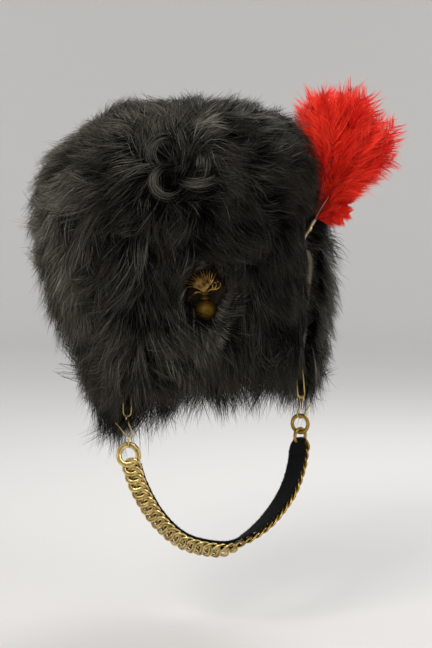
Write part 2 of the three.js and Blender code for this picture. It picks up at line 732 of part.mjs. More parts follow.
add(hanging, 'end_ring', curbLink(END_RING, 24), FINISH.brass).applyMatrix4(chainFrame(0));
const pitch = (routeLength - CHAIN.firstAt) / (CHAIN.links - 1);
for (let i = 0; i < CHAIN.links; i++) {
  const name = `chain_link_${String(i + 1).padStart(2, '0')}`;
  const link = add(hanging, name, curbLink(CHAIN, 16), FINISH.brass);
  link.applyMatrix4(chainFrame(CHAIN.firstAt + i * pitch));
}
add(hanging, 'chain_strap', chainStrap(), FINISH.velvet);

const group = new THREE.Group();
group.add(cap, hanging);
export default group;
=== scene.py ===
"""Looks of a tall parade cap: black fur, red plume, grenade badge and brass chin chain.

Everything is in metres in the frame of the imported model, with the wearer's left at +X and the
front at -Y. New pieces are numpy surfaces and ribbons laid around the model's own nodes.
"""

import math

import bmesh
import bpy
import numpy as np
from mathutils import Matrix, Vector
from mathutils.bvhtree import BVHTree


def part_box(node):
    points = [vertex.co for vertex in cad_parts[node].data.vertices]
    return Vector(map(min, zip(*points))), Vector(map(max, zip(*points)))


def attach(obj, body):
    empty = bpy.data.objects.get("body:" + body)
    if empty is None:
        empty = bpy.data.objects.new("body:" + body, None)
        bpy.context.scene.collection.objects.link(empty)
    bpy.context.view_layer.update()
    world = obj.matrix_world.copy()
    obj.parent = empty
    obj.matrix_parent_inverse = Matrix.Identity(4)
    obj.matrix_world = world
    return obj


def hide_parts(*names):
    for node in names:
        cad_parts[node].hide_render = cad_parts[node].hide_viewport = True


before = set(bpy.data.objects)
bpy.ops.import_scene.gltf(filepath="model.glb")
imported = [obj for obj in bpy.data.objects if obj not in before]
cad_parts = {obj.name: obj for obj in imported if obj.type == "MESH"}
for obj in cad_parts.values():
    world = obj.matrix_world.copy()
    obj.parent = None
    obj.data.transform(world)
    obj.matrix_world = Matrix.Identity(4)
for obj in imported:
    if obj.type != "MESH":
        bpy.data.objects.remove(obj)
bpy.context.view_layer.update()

# ---- Camera ----
# Straight in front of the cap and a little above it, as far off as a portrait is taken.
AIM = Vector((0.003, 0, 0.0484))
DISTANCE, ELEVATION = 1.6, math.radians(4)

camera_data = bpy.data.cameras.new("camera")
camera_data.lens, camera_data.sensor_width = 86.3, 36
camera = bpy.data.objects.new("camera", camera_data)
bpy.context.collection.objects.link(camera)
camera.location = AIM + DISTANCE * Vector((0, -math.cos(ELEVATION), math.sin(ELEVATION)))
camera.rotation_euler = (math.pi / 2 - ELEVATION, 0, 0)
bpy.context.scene.camera = camera

# ---- Studio ----
# A round pale floor that sweeps up into a wall on all sides, three large soft lamps on the cap,
# four overhead that wash the wall, and an even grey sky. The floor is where a stand under the
# wearer's head would be, below the chain.
FLOOR = -0.262
SWEEP = {"bend_from": 3.5, "radius": 1.5, "top": 2.2, "around": 96}
LAMPS = [
    {"name": "key", "at": (-0.9, -1.5, 1.25), "size": 0.9, "watts": 30, "tint": (1, 0.97, 0.93)},
    {"name": "fill", "at": (2.0, -1.7, 1.2), "size": 1.3, "watts": 18, "tint": (0.95, 0.97, 1)},
    {"name": "rim", "at": (0.5, 1.1, 1.3), "size": 0.9, "watts": 16, "tint": (1, 1, 1)},
]


def node(tree, kind, inputs=(), **settings):
    """Adds a shader node, sets its properties, and gives each input a value or a link."""
    made = tree.nodes.new("ShaderNode" + kind)
    for name, value in settings.items():
        setattr(made, name, value)
    for name, value in dict(inputs).items():
        if isinstance(value, bpy.types.NodeSocket):
            tree.links.new(value, made.inputs[name])
        else:
            made.inputs[name].default_value = value
    return made


def new_finish(name, **sockets):
    """A material, its node tree and its Principled BSDF with these sockets set."""
    material = bpy.data.materials.new(name)
    material.use_nodes = True
    tree = material.node_tree
    shader = tree.nodes["Principled BSDF"]
    for socket, value in sockets.items():
        shader.inputs[socket.replace("_", " ")].default_value = value
    return material, tree, shader


def add_piece(name, vertices, faces, material):
    """A smooth mesh object at the origin from places and each face's list of corners."""
    mesh = bpy.data.meshes.new(name)
    mesh.from_pydata(np.asarray(vertices).tolist(), [], faces)
    mesh.polygons.foreach_set("use_smooth", [True] * len(mesh.polygons))
    mesh.materials.append(material)
    piece = bpy.data.objects.new(name, mesh)
    bpy.context.collection.objects.link(piece)
    return piece


def sweep_surface():
    """Floor, quarter circle and wall: one profile of radius and height turned about Z."""
    turn = np.linspace(0, math.pi / 2, 24)
    out = SWEEP["bend_from"] + SWEEP["radius"] * np.append(np.sin(turn), 1)
    z = np.append(FLOOR + SWEEP["radius"] * (1 - np.cos(turn)), SWEEP["top"])
    about = 2 * math.pi * np.arange(SWEEP["around"])[:, None] / SWEEP["around"]
    places = np.stack(np.broadcast_arrays(out * np.cos(about), out * np.sin(about), z), -1)
    rows, steps = np.arange(SWEEP["around"])[:, None], np.arange(len(z) - 1)
    here, beside = rows * len(z) + steps, (rows + 1) % SWEEP["around"] * len(z) + steps
    walls = np.stack([here, here + 1, beside + 1, beside], -1).reshape(-1, 4)
    floor = (rows[:, 0] * len(z)).tolist()
    return places.reshape(-1, 3), [floor] + walls.tolist()


paper = new_finish("studio_paper", Roughness=0.9, Base_Color=(0.66, 0.645, 0.62, 1))[0]
add_piece("studio_sweep", *sweep_surface(), paper)

WALL_WASH = {"out": 2.4, "up": 3.2, "watts": 42, "size": 1.6, "aim_out": 5.0, "aim_up": 0.5}
for quarter in range(4):
    turn = math.pi * (0.25 + quarter / 2)
    way = Vector((math.cos(turn), math.sin(turn), 0))
    LAMPS.append({
        "name": f"wash_{quarter}",
        "at": WALL_WASH["out"] * way + Vector((0, 0, WALL_WASH["up"])),
        "aim": WALL_WASH["aim_out"] * way + Vector((0, 0, WALL_WASH["aim_up"])),
        "size": WALL_WASH["size"], "watts": WALL_WASH["watts"], "tint": (1, 1, 1),
    })

for lamp in LAMPS:
    data = bpy.data.lights.new(lamp["name"], "AREA")
    data.size, data.energy, data.color = lamp["size"], lamp["watts"], lamp["tint"]
    light = bpy.data.objects.new(lamp["name"], data)
    bpy.context.collection.objects.link(light)
    light.location = lamp["at"]
    light.rotation_euler = (lamp.get("aim", AIM) - light.location).to_track_quat("-Z", "Y").to_euler()

sky = bpy.data.worlds.new("sky")
sky.use_nodes = True
sky.node_tree.nodes["Background"].inputs["Color"].default_value = (0.9, 0.93, 1, 1)
sky.node_tree.nodes["Background"].inputs["Strength"].default_value = 0.42
bpy.context.scene.world = sky
bpy.context.scene.view_settings.view_transform = "Standard"

# ---- Cap shell ----
# The stiff form that carries the pelts: cane and canvas pressed to a tall dome. Only its brown
# inner wall shows, from below.


def corner_places(name):
    """The corners of a CAD node's triangles as one array, n x 3 x 3."""
    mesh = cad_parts[name].data
    mesh.calc_loop_triangles()
    places = np.empty(3 * len(mesh.vertices))
    mesh.vertices.foreach_get("co", places)
    corners = np.empty(3 * len(mesh.loop_triangles), int)
    mesh.loop_triangles.foreach_get("vertices", corners)
    return places.reshape(-1, 3)[corners.reshape(-1, 3)]


def rounded_copy(name, copied, material, levels=1, grow=0.0):
    """A node's own surface under a new name: merged, made quads, grown outwards and rounded."""
    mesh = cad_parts[name].data.copy()
    mesh.name = copied
    bm = bmesh.new()
    bm.from_mesh(mesh)
    bmesh.ops.remove_doubles(bm, verts=bm.verts, dist=1e-5)
    bmesh.ops.join_triangles(bm, faces=bm.faces, angle_face_threshold=0.7, angle_shape_threshold=1.2)
    bm.normal_update()
    for vertex in bm.verts:
        vertex.co += grow * vertex.normal
    bm.to_mesh(mesh)
    bm.free()
    mesh.polygons.foreach_set("use_smooth", [True] * len(mesh.polygons))
    mesh.materials.clear()
    mesh.materials.append(material)
    piece = bpy.data.objects.new(copied, mesh)
    bpy.context.collection.objects.link(piece)
    rounding = piece.modifiers.new("rounding", "SUBSURF")
    rounding.levels = rounding.render_levels = levels
    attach(piece, "root")
    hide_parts(name)
    return piece


def grain_group():
    """Fine pitted grain with broad colour drift: Scale in, Fac and Height out."""
    group = bpy.data.node_groups.new("grain", "ShaderNodeTree")
    group.interface.new_socket("Scale", in_out="INPUT", socket_type="NodeSocketFloat")
    group.interface.new_socket("Fac", in_out="OUTPUT", socket_type="NodeSocketFloat")
    group.interface.new_socket("Height", in_out="OUTPUT", socket_type="NodeSocketFloat")
    place = node(group, "TexCoord").outputs["Object"]
    given = group.nodes.new("NodeGroupInput")
    pits = node(group, "TexVoronoi", {"Vector": place, "Scale": given.outputs["Scale"]})
    drift = node(group, "TexNoise", {"Vector": place, "Scale": 30, "Detail": 5, "Roughness": 0.6})
    out = group.nodes.new("NodeGroupOutput")
    group.links.new(drift.outputs["Fac"], out.inputs["Fac"])
    group.links.new(pits.outputs["Distance"], out.inputs["Height"])
    return group


GRAIN = grain_group()


def grained_finish(name, dark, light, scale, bump, roughness, **sockets):
    """Hide, leather or cloth: two colours drifting into each other over a pitted grain."""
    material, tree, shader = new_finish(name, Roughness=roughness, **sockets)
    grain = node(tree, "Group", node_tree=GRAIN)
    grain.inputs["Scale"].default_value = scale
    colour = node(tree, "ValToRGB", {"Fac": grain.outputs["Fac"]})
    colour.color_ramp.elements[0].position = 0.3
    colour.color_ramp.elements[1].position = 0.7
    colour.color_ramp.elements[0].color = (*dark, 1)
    colour.color_ramp.elements[1].color = (*light, 1)
    tree.links.new(colour.outputs["Color"], shader.inputs["Base Color"])
    relief = node(tree, "Bump", {"Height": grain.outputs["Height"], "Distance": bump})
    tree.links.new(relief.outputs["Normal"], shader.inputs["Normal"])
    return material


canvas = grained_finish(
    "canvas", (0.04, 0.026, 0.015), (0.09, 0.062, 0.036), scale=900, bump=0.0004, roughness=0.85,
)
shell = rounded_copy("cap_shell", "shell_canvas", canvas)

# ---- Headband ----
# A band of black leather inside the rim, with a tab hanging over each ear.
leather = grained_finish(
    "black_leather", (0.003, 0.003, 0.003), (0.01, 0.009, 0.0085), scale=1400, bump=0.0002, roughness=0.5,
)
band = rounded_copy("headband", "headband_leather", leather)

# ---- Fur ----
# Two bear pelts, one over the front and crown and one behind, sewn edge to edge at the sides. The
# undercoat is each pelt's own form drawn in towards the shell; the guard hair stands on it in
# tapering locks that turn away from a whorl high on the wearer's right.
LEAN = math.radians(5)  # the cap is tipped this far to the wearer's right
MIDDLE_LINE_TOP = 0.19  # the cap's middle line runs up to here from the rim
WHORL = np.array([-0.049, -0.150, 0.199])
WHORL_CORE = 0.05  # nearer than this the locks spiral, and lie in no clear direction
SHELL_SIZE = {"half_width": 0.092, "half_depth": 0.110, "top": 0.239}
PARTING = {"front": -0.0155, "back": -0.0105, "top": 0.19}  # the welt lies between these planes
WELT_MIDDLE = -0.012  # along Y
WELT_FACE = 0.009  # the welt's outer face is further than this from its inmost place
WELT_COVERED = {"z": 0.059, "half_height": 0.014, "top": 0.152}  # where front hair falls over the welt
DOWN = np.array([0.0, 0.0, -1.0])


def dot(a, b):
    """Dot products along the last axis, which stays."""
    return (a * b).sum(-1, keepdims=True)


def unit(v):
    """Directions of vectors along the last axis."""
    return v / np.maximum(np.linalg.norm(v, axis=-1, keepdims=True), 1e-9)


def rise(value, low, high):
    """0 below low, 1 above high, and an even S between them."""
    t = np.clip((value - low) / (high - low), 0, 1)
    return t * t * (3 - 2 * t)


def fade(value, low, high):
    """1 below low, 0 above high, and an even S between them."""
    return 1 - rise(value, low, high)


def hump(value, middle, half):
    """1 at the middle, falling off on both sides as a bell curve of this half width."""
    return np.exp(-(((value - middle) / half) ** 2))


def upright(p):
    """Places with the cap's lean taken out, so that z runs along its middle."""
    x, y, z = np.moveaxis(p, -1, 0)
    c, s = math.cos(LEAN), math.sin(LEAN)
    return np.stack([x * c + z * s, y, z * c - x * s], -1)


def waves(p, length, seed):
    """Smooth wandering value of about -1 to 1: four sines across random directions."""
    rng = np.random.default_rng(seed)
    across = unit(rng.normal(size=(4, 3))) * 2 * math.pi / length
    return np.sin(p @ across.T + rng.uniform(0, 6.28, 4)).sum(-1) / 2.4


def fur_depth(p):
    """How deep the pelt is below its outer form: to the shell's side, or down to its top."""
    x, y, z = np.moveaxis(upright(p), -1, 0)
    away = np.hypot(x / SHELL_SIZE["half_width"], y / SHELL_SIZE["half_depth"])
    beside = np.hypot(x, y) * (1 - 1 / np.maximum(away, 1e-6))
    return np.maximum(np.maximum(beside, z - SHELL_SIZE["top"]), 0)


def from_axis(p):
    """Unit direction from the nearest place on the cap's middle line."""
    middle = np.clip(upright(p)[..., 2], 0, MIDDLE_LINE_TOP)
    foot = np.stack([-math.sin(LEAN) * middle, 0 * middle, math.cos(LEAN) * middle], -1)
    return unit(p - foot)


def face_cross(corners):
    """Cross product of two sides of each triangle: its normal times twice its area."""
    return np.cross(corners[:, 1] - corners[:, 0], corners[:, 2] - corners[:, 0])


def pelt_form(name, edge_side):
    """The hairy faces of a pelt's solid: corners, smooth corner normals, areas and edge marks.

    They are the outward faces and the cut edges that show, which look to edge_side along Y: all
    the way up beside the welt, and below the front pelt on the wearer's right. Corners that lie
    within 0.05 mm of each other share a normal, but not across the corner of a cut edge.
    """
    corners = corner_places(name)
    cross = face_cross(corners)
    looks = unit(cross)
    middle = corners.mean(1)
    outward = (dot(looks, from_axis(middle))[:, 0] > 0.3) & (fur_depth(middle) > 0.0015)
    edge = (looks[:, 1] * edge_side > 0.9) & (np.abs(middle[:, 1] - WELT_MIDDLE) < 0.012)
    edge &= (upright(middle)[:, 0] > 0.088) | (middle[:, 2] < 0.02)
    kept = outward | edge
    corners, cross, edge = corners[kept], cross[kept], edge[kept]
    keys = np.round(corners.reshape(-1, 3) / 5e-5).astype(int)
    keys = np.concatenate([keys, edge.repeat(3)[:, None]], 1)
    _, which = np.unique(keys, axis=0, return_inverse=True)
    which = which.reshape(-1)
    sums = np.zeros((which.max() + 1, 3))
    np.add.at(sums, which, np.repeat(cross, 3, axis=0))
    return corners, unit(sums[which]).reshape(-1, 3, 3), np.linalg.norm(cross, axis=1) / 2, edge


def scatter(rng, corners, normals, area, number):
    """Evenly random places on a form's triangles, and the normals there."""
    chosen = rng.choice(len(area), number, p=area / area.sum())
    u, v = np.sqrt(rng.uniform(size=number)), rng.uniform(size=number)
    share = np.stack([1 - u, u * (1 - v), u * v], 1)[..., None]
    return (corners[chosen] * share).sum(1), unit((normals[chosen] * share).sum(1))


def lie_of_hair(p, n, edge):
    """Along the pelt, away from the whorl and down; straight down behind; outwards on an edge."""
    x, y, z = np.moveaxis(upright(p), -1, 0)
    away = p - WHORL
    distance = np.linalg.norm(away, axis=1)
    behind = rise(y, -0.06, 0.05) * fade(z, 0.2, 0.24)
    fall = 0.1 + 0.75 * fade(z, 0.05, 0.18) + 0.3 * fade(z, 0, 0.045) + 1.1 * behind
    way = (away / np.maximum(distance, WHORL_CORE)[:, None]) * (1 - 0.8 * behind)[:, None]
    way += fall[:, None] * DOWN
    # Below the badge the brow hair parts a little to both sides.
    way[:, 0] += 0.5 * hump(z, 0.03, 0.04) * np.clip(x / 0.05, -1, 1) * (y < -0.05)
    outwards = np.sign(x) * (1 - 0.5 * fade(z, -0.02, 0.02))
    way[edge] = np.stack([outwards, 0 * x, -0.5 - 0.5 * fade(z, -0.02, 0.02)], 1)[edge]
    way = unit(way - n * dot(way, n))
    # The lie turns round the whorl's core and wanders everywhere, most of all by the hem.
    turn = 1.5 * hump(distance, 0, 0.6 * WHORL_CORE)
    turn += np.where(edge, 0.3, 1) * (0.42 * waves(p, 0.1, 3) + 0.3 * waves(p, 0.036, 4))
    turn += 0.4 * fade(z, 0.01, 0.05) * waves(p, 0.028, 14)
    return way * np.cos(turn)[:, None] + np.cross(n, way) * np.sin(turn)[:, None]


def hair_length(p, edge):
    """Short on the crown, over the brow and at a cut edge; longest low on the sides."""
    x, y, z = np.moveaxis(upright(p), -1, 0)
    length = 0.045 - 0.012 * rise(z, 0.2, 0.27) + 0.012 * fade(z, 0.04, 0.13)
    brow = fade(y, -0.09, -0.02) * fade(z, 0.015, 0.05) * fade(np.abs(x), 0.05, 0.085)
    on_edge = 0.036 - 0.016 * rise(fur_depth(p), 0.01, 0.035) - 0.01 * fade(z, 0.02, 0.06)
    return np.where(edge, on_edge, length - 0.014 * brow)


def tone_and_painted_light(p):
    """How pale the locks are: painted light on the crown and the wearer's right side, paler behind, dark in
    front with painted shade over the badge.
    """
    x, y, z = np.moveaxis(upright(p), -1, 0)
    front = fade(y, -0.1, -0.03)
    # Painted highlights on the crown and the wearer's right side, most low in front there; painted shade
    # over the badge.
    crown = 0.29 * rise(z, 0.2, 0.262)
    right_side = 0.4 * fade(x, -0.14, -0.08) * rise(z, -0.01, 0.07)
    right_front = 0.22 * front * hump(x, -0.07, 0.05) * hump(z, 0.075, 0.05)
    behind_welt = 0.6 * rise(x, 0.085, 0.125) * fade(z, 0.11, 0.16) * (y > PARTING["back"] - 0.002)
    over_badge = -0.38 * front * hump(x, 0.04, 0.085) * hump(z, 0.135, 0.06)
    right_hem = -0.34 * rise(y, -0.01, 0.02) * fade(x, -0.1, -0.05) * fade(z, 0, 0.06)
    back = 0.1 * rise(y, 0.02, 0.1)
    return 0.05 + crown + right_side + right_front + behind_welt + over_badge + right_hem + back


def angle_round(p):
    """Angle of places round the cap: 0 in front, rising to the wearer's left."""
    return np.arctan2(p[..., 0], -p[..., 1])


def hem_of(corners):
    """Lowest place of a form at each angle round the cap, as a function of the angle."""
    p = corners.reshape(-1, 3)
    parts = 48
    edges = np.linspace(-math.pi, math.pi, parts + 1)
    bins = np.digitize(angle_round(p), edges) - 1
    low = np.array([p[bins == i, 2].min() if (bins == i).any() else np.nan for i in range(parts)])
    middle = (edges[1:] + edges[:-1]) / 2
    known = ~np.isnan(low)
    return lambda at: np.interp(at, middle[known], low[known])


HAIR = {"per_lock": 20, "per_tuft": 5, "per_shag": 13, "steps": 5, "spread": 0.007}
HAIR_WIDTH = (0.00033, 0.00059)
# How shags, locks and single hairs differ: spreads in radians, metres or shade, but lengths and
# the gathering towards the tip are ranges of shares, and strays are a share of the hairs.
VARIES = {
    "lock_length": (0.72, 1.2), "hair_length": (0.68, 1.05), "gather": (0.3, 0.75), "hem": 0.006,
    "shag_heading": 0.34, "lock_heading": 0.14, "hair_heading": 0.13, "shag_curl": 0.3, "lock_curl": 0.2,
    "lock_lift": 0.003, "stray_lift": 0.0035, "strays": 0.3, "lock_shade": 0.2, "hair_shade": 0.19,
}


def shags_of(rng, p, edge):
    """Gathers locks about a dozen to a shag, round some of their own places.

    Gives the number of shags, each lock's shag, its way to the shag's middle, shorter on a cut
    edge, and how far off the middle it stands, 0 to 1.
    """
    middles = p[rng.choice(len(p), len(p) // HAIR["per_shag"])]
    shag = ((p[:, None] - middles) ** 2).sum(-1).argmin(1)
    pull = (middles[shag] - p) * np.where(edge, 0.25, 1)[:, None]
    return len(middles), shag, pull, np.clip(np.linalg.norm(pull, axis=1) / 0.022, 0, 1)


def drawn_up(rng, p, lie, length, low):
    """Places of locks, moved back up against their lie so that their tips end about at the hem.

    The hem is at the heights low. It may be passed by a little, by more below the wearer's left
    temple, and freely by the crown's hair, which falls over the pelt behind.
    """
    spare = p[:, 2] - low + np.where(low < -0.02, 0.013, 0.009) + 0.1 * (low > 0.1)
    spare += 0.008 * rise(p[:, 0], 0.045, 0.075) * fade(p[:, 1], -0.03, -0.01) * (low > -0.02)
    spare += 0.007 * waves(p, 0.03, 6) + rng.normal(0, VARIES["hem"], len(p))
    reach = 0.5 * length * np.maximum(-lie[:, 2], 0.05)
    back = np.maximum(reach - np.maximum(spare, 0), 0) / np.maximum(-lie[:, 2], 0.4)
    return p - lie * back[:, None]


def hair_locks(rng, p, n, edge, hem):
    """Centre lines of hairs, and how far off its shag's middle each lock stands, 0 to 1.

    The lines are an array of locks x hairs x steps x 3. A hair starts under the form and upstream
    of its place, rises steeply, then follows its lock, whose middle line is an arc along the lie
    of the hair. Small tufts draw together, and the whole lock draws in, towards the tip. Locks
    lean towards the middle of their shag and stand up there. Hair on a cut edge keeps straighter,
    and there and by the hem its tips stray and droop.
    """
    count, hairs = len(p), HAIR["per_lock"]
    length = hair_length(p, edge) * rng.uniform(*VARIES["lock_length"], count)
    lie = lie_of_hair(p, n, edge)
    shags, shag, pull, off_middle = shags_of(rng, p, edge)
    heading = rng.normal(0, VARIES["lock_heading"], count)
    heading = heading + rng.normal(0, VARIES["shag_heading"], shags)[shag]
    heading = (heading * np.where(edge, 0.4, 1))[:, None]
    lie = lie * np.cos(heading) + np.cross(n, lie) * np.sin(heading)
    depth = np.where(edge, 0.002, np.clip(0.75 * fur_depth(p), 0.002, 0.018))[:, None, None]
    low = hem(angle_round(p))
    p = drawn_up(rng, p, lie, length, low)
    by_edge = edge | (p[:, 2] < low + 0.03)

    s = np.linspace(0, 1, HAIR["steps"]) ** 0.85
    own = rng.uniform(*VARIES["hair_length"], (count, hairs, 1)) * s
    curl = 0.3 * waves(p, 0.05, 5) + rng.normal(0, VARIES["lock_curl"], count)
    curl = (curl + rng.normal(0, VARIES["shag_curl"], shags)[shag]) * np.where(edge, 0.5, 1)
    turn = curl[:, None, None] * own + rng.normal(0, VARIES["hair_heading"], (count, hairs, 1))
    lift = rng.normal(0.0072, VARIES["lock_lift"], count) - 0.009 * off_middle
    stray = np.abs(rng.normal(0, VARIES["stray_lift"], (count, hairs)))
    lift = lift[:, None] + stray * (rng.random((count, hairs)) < VARIES["strays"])
    up = lift[..., None] * own**2 - depth * (1 - own.clip(0, 1)) ** 1.6

    tufts = rng.uniform(-1, 1, (count, hairs // HAIR["per_tuft"], 1, 3)).repeat(HAIR["per_tuft"], 1)
    single = rng.normal(0, 1, (count, hairs, 1, 3)) * np.where(by_edge, 0.62, 0.3)[:, None, None, None]
    gather = rng.uniform(*VARIES["gather"], count) * np.where(edge, 0.5, 1)
    gather = gather[:, None, None, None] * own[..., None] ** 1.3
    loose = tufts * (1 - gather) + single * (1 - 0.55 * own[..., None])
    loose *= HAIR["spread"] * np.array([1.0, 1.0, 0.35])

    span = length[:, None, None]
    steps = np.stack([span * (own * np.cos(turn) - 0.5), span * own * np.sin(turn), up], -1) + loose
    axes = np.stack([lie, np.cross(n, lie), n], 1)
    lines = p[:, None, None] + np.einsum("lhsa,lax->lhsx", steps, axes)
    lines += 0.35 * pull[:, None, None] * own[..., None] ** 2
    lines[..., 2] -= span * np.where(by_edge, 0.22, 0.1)[:, None, None] * own**2
    return lines, off_middle


# The hair lies open round the badge, in the shape of a pear: its middle, its half widths beside
# the ball and the flames, its half height, and how far forward hair has to be to be parted. A
# hair is left out if it lay within the share "across" of the opening, or comes within "bare".
BADGE_OPENING = {
    "x": -0.0078, "z": 0.086, "ball": 0.0128, "flames": 0.0195, "half_height": 0.027, "before": -0.09,
    "across": 0.7, "bare": 0.8,
}


def opening_half_width(z):
    """Half the opening's width: narrow beside the ball and wider beside the flames."""
    share = rise(z, 0.068, 0.084)
    return BADGE_OPENING["ball"] + (BADGE_OPENING["flames"] - BADGE_OPENING["ball"]) * share


def from_badge(lines):
    """Places across and up from the badge's middle and distance, as shares of the opening."""
    across = (lines[..., 0] - BADGE_OPENING["x"]) / opening_half_width(lines[..., 2])
    up = (lines[..., 2] - BADGE_OPENING["z"]) / BADGE_OPENING["half_height"]
    return across, up, np.maximum(np.hypot(across, up), 1e-6)


def part_round_badge(lines):
    """Bends hair near the badge outwards, round the opening; marks the hair that lay across it."""
    across, up, away = from_badge(lines)
    near = lines[..., 1] < BADGE_OPENING["before"]
    ragged = 1 + 0.15 * waves(lines[..., :1, :], 0.02, 12)
    pushed = np.where(near, (away**4 + ragged**4) ** 0.25 / away, 1)
    lines[..., 0] = BADGE_OPENING["x"] + across * pushed * opening_half_width(lines[..., 2])
    lines[..., 2] = BADGE_OPENING["z"] + up * pushed * BADGE_OPENING["half_height"]
    return (near & (away < BADGE_OPENING["across"])).any(-1)


def welt_crest():
    """Heights and reach to the wearer's left of the corners on the welt's outer face."""
    corners = corner_places("seam_strip").reshape(-1, 3)
    corners = corners[corners[:, 0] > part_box("seam_strip")[0][0] + WELT_FACE]
    corners = corners[np.argsort(corners[:, 2])]
    return corners[:, 2], corners[:, 0]


def show_welt(places, depth, clearance):
    """Draws front hair or undercoat in beside the welt, to this depth inside the welt's crest.

    Low down, where the shell comes near the welt, it keeps this clearance from the shell.
    """
    z = upright(places)[..., 2]
    over = hump(z, WELT_COVERED["z"], WELT_COVERED["half_height"])
    over = np.maximum(over, rise(z, WELT_COVERED["top"] - 0.006, WELT_COVERED["top"] + 0.006))
    limit = np.interp(places[..., 2], *welt_crest()) - depth + 0.04 * over
    spare = np.maximum(fur_depth(places) - clearance, 0) + 0.05 * rise(z, 0.03, 0.05)
    soft = 0.002
    places[..., 0] -= np.minimum(soft * np.logaddexp(0, (places[..., 0] - limit) / soft), spare)


def keep_off_welt(lines, plane, side):
    """Holds hair on the wearer's left on its own side of the parting, but for one fallen lock."""
    x, y, z = np.moveaxis(upright(lines), -1, 0)
    soft = 0.004
    held = plane + side * soft * np.logaddexp(0, side * (y - plane) / soft)
    mine = rise(x, 0.06, 0.085) * fade(z, PARTING["top"], PARTING["top"] + 0.02)
    if side < 0:
        mine = mine * (1 - hump(z, WELT_COVERED["z"], WELT_COVERED["half_height"]))
    lines[..., 1] += mine * (held - y)
    if side < 0:
        show_welt(lines, depth=0.006, clearance=0.0035)


def ribbons(rng, lines, width, out, roll):
    """Flat tapering ribbons along lines, n x steps x 3: their vertices.

    A ribbon lies across its own run, square to `out`, turned about the run by a random roll,
    narrows as 1 - 0.75 s^2.2 and ends in a point.
    """
    count, steps, _ = lines.shape
    run = unit(np.gradient(lines, axis=1))
    flat = unit(np.cross(run, out[:, None, :]))
    lean = rng.normal(0, roll, (count, 1, 1))
    flat = flat * np.cos(lean) + np.cross(run, flat) * np.sin(lean)
    s = np.linspace(0, 1, steps)
    half = width[:, None, None] / 2 * (1 - 0.75 * s[None, :, None] ** 2.2)
    sides = np.stack([lines - flat * half, lines + flat * half], 2)[:, :-1].reshape(count, -1, 3)
    return np.concatenate([sides, lines[:, -1:]], 1)


def strand_piece(name, places, shade, material):
    """One mesh of ribbons with float attributes `shade` and `along` and a bake map of cells.

    Each ribbon, a row of places, has its own square cell of the map, with its run along a side.
    """
    count, per, _ = places.shape
    steps = (per + 1) // 2
    i = np.arange(steps - 2)[:, None]
    corners = np.concatenate([(2 * i + [0, 1, 3, 2]).ravel(), [per - 3, per - 2, per - 1]])
    all_corners = (corners + per * np.arange(count)[:, None]).ravel()
    starts = (4 * np.arange(steps - 1) + len(corners) * np.arange(count)[:, None]).ravel()

    mesh = bpy.data.meshes.new(name)
    mesh.vertices.add(count * per)
    mesh.vertices.foreach_set("co", places.astype(np.float32).ravel())
    mesh.loops.add(len(all_corners))
    mesh.loops.foreach_set("vertex_index", all_corners.astype(np.int32))
    mesh.polygons.add(len(starts))
    mesh.polygons.foreach_set("loop_start", starts.astype(np.int32))
    mesh.update(calc_edges=True)
    mesh.polygons.foreach_set("use_smooth", np.ones(len(starts), bool))

    along = np.append(np.linspace(0, 1, steps)[:-1].repeat(2), 1)
    side = np.append(np.tile([0.0, 1.0], steps - 1), 0.5)
    for attribute, values in [("shade", shade.repeat(per)), ("along", np.tile(along, count))]:
        layer = mesh.attributes.new(attribute, "FLOAT", "POINT")
        layer.data.foreach_set("value", values.astype(np.float32))
    cells = math.ceil(math.sqrt(count))
    cell = np.stack(np.divmod(np.arange(count), cells), -1)[:, None, :]
    inside = 0.1 + 0.8 * np.stack([along, side], -1)
    uv = ((cell + inside) / cells).reshape(-1, 2)[all_corners]
    mesh.uv_layers.new(name="OFBake").data.foreach_set("uv", uv.astype(np.float32).ravel())
    mesh.materials.append(material)
    piece = bpy.data.objects.new(name, mesh)
    bpy.context.collection.objects.link(piece)
    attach(piece, "root")
    return piece


def blend(tree, share, first, second):
    """Colour mix node: first at share 0, second at share 1; either a colour or a socket."""
    mix = node(tree, "Mix", data_type="RGBA")
    for place, value in zip((0, 6, 7), (share, first, second)):
        if isinstance(value, bpy.types.NodeSocket):
            tree.links.new(value, mix.inputs[place])
        else:
            mix.inputs[place].default_value = (*value, 1)
    return mix.outputs[2]


def strand_finish(name, root, dark, light, tip, **sockets):
    """Hair or barb: dark to light by its own shade, its own colour at the tip and a darker root colour,
    painted shade among the strands.
    """
    material, tree, shader = new_finish(name, **sockets)
    shade = node(tree, "Attribute", attribute_name="shade").outputs["Fac"]
    along = node(tree, "Attribute", attribute_name="along").outputs["Fac"]
    grown = node(tree, "MapRange", {"Value": along, "From Min": 0.1, "From Max": 0.6})
    ending = node(tree, "MapRange", {"Value": along, "From Min": 0.6, "From Max": 1.1})
    own = blend(tree, shade, dark, light)
    body = blend(tree, grown.outputs["Result"], root, own)
    colour = blend(tree, ending.outputs["Result"], body, tip)
    tree.links.new(colour, shader.inputs["Base Color"])
    return material


# Its root colour is painted shade deep in the pelt.
black_fur = strand_finish(
    "black_fur",
    root=(0.0004, 0.0003, 0.0002), dark=(0.001, 0.0009, 0.0007), light=(0.264, 0.254, 0.208),
    tip=(0.048, 0.043, 0.033), Roughness=0.4, Specular_IOR_Level=0.025,
)
undercoat_fur = grained_finish(
    "undercoat", (0.001, 0.0009, 0.0007), (0.004, 0.0035, 0.003), scale=1200, bump=0.001, roughness=0.9,
    Specular_IOR_Level=0.05,
)

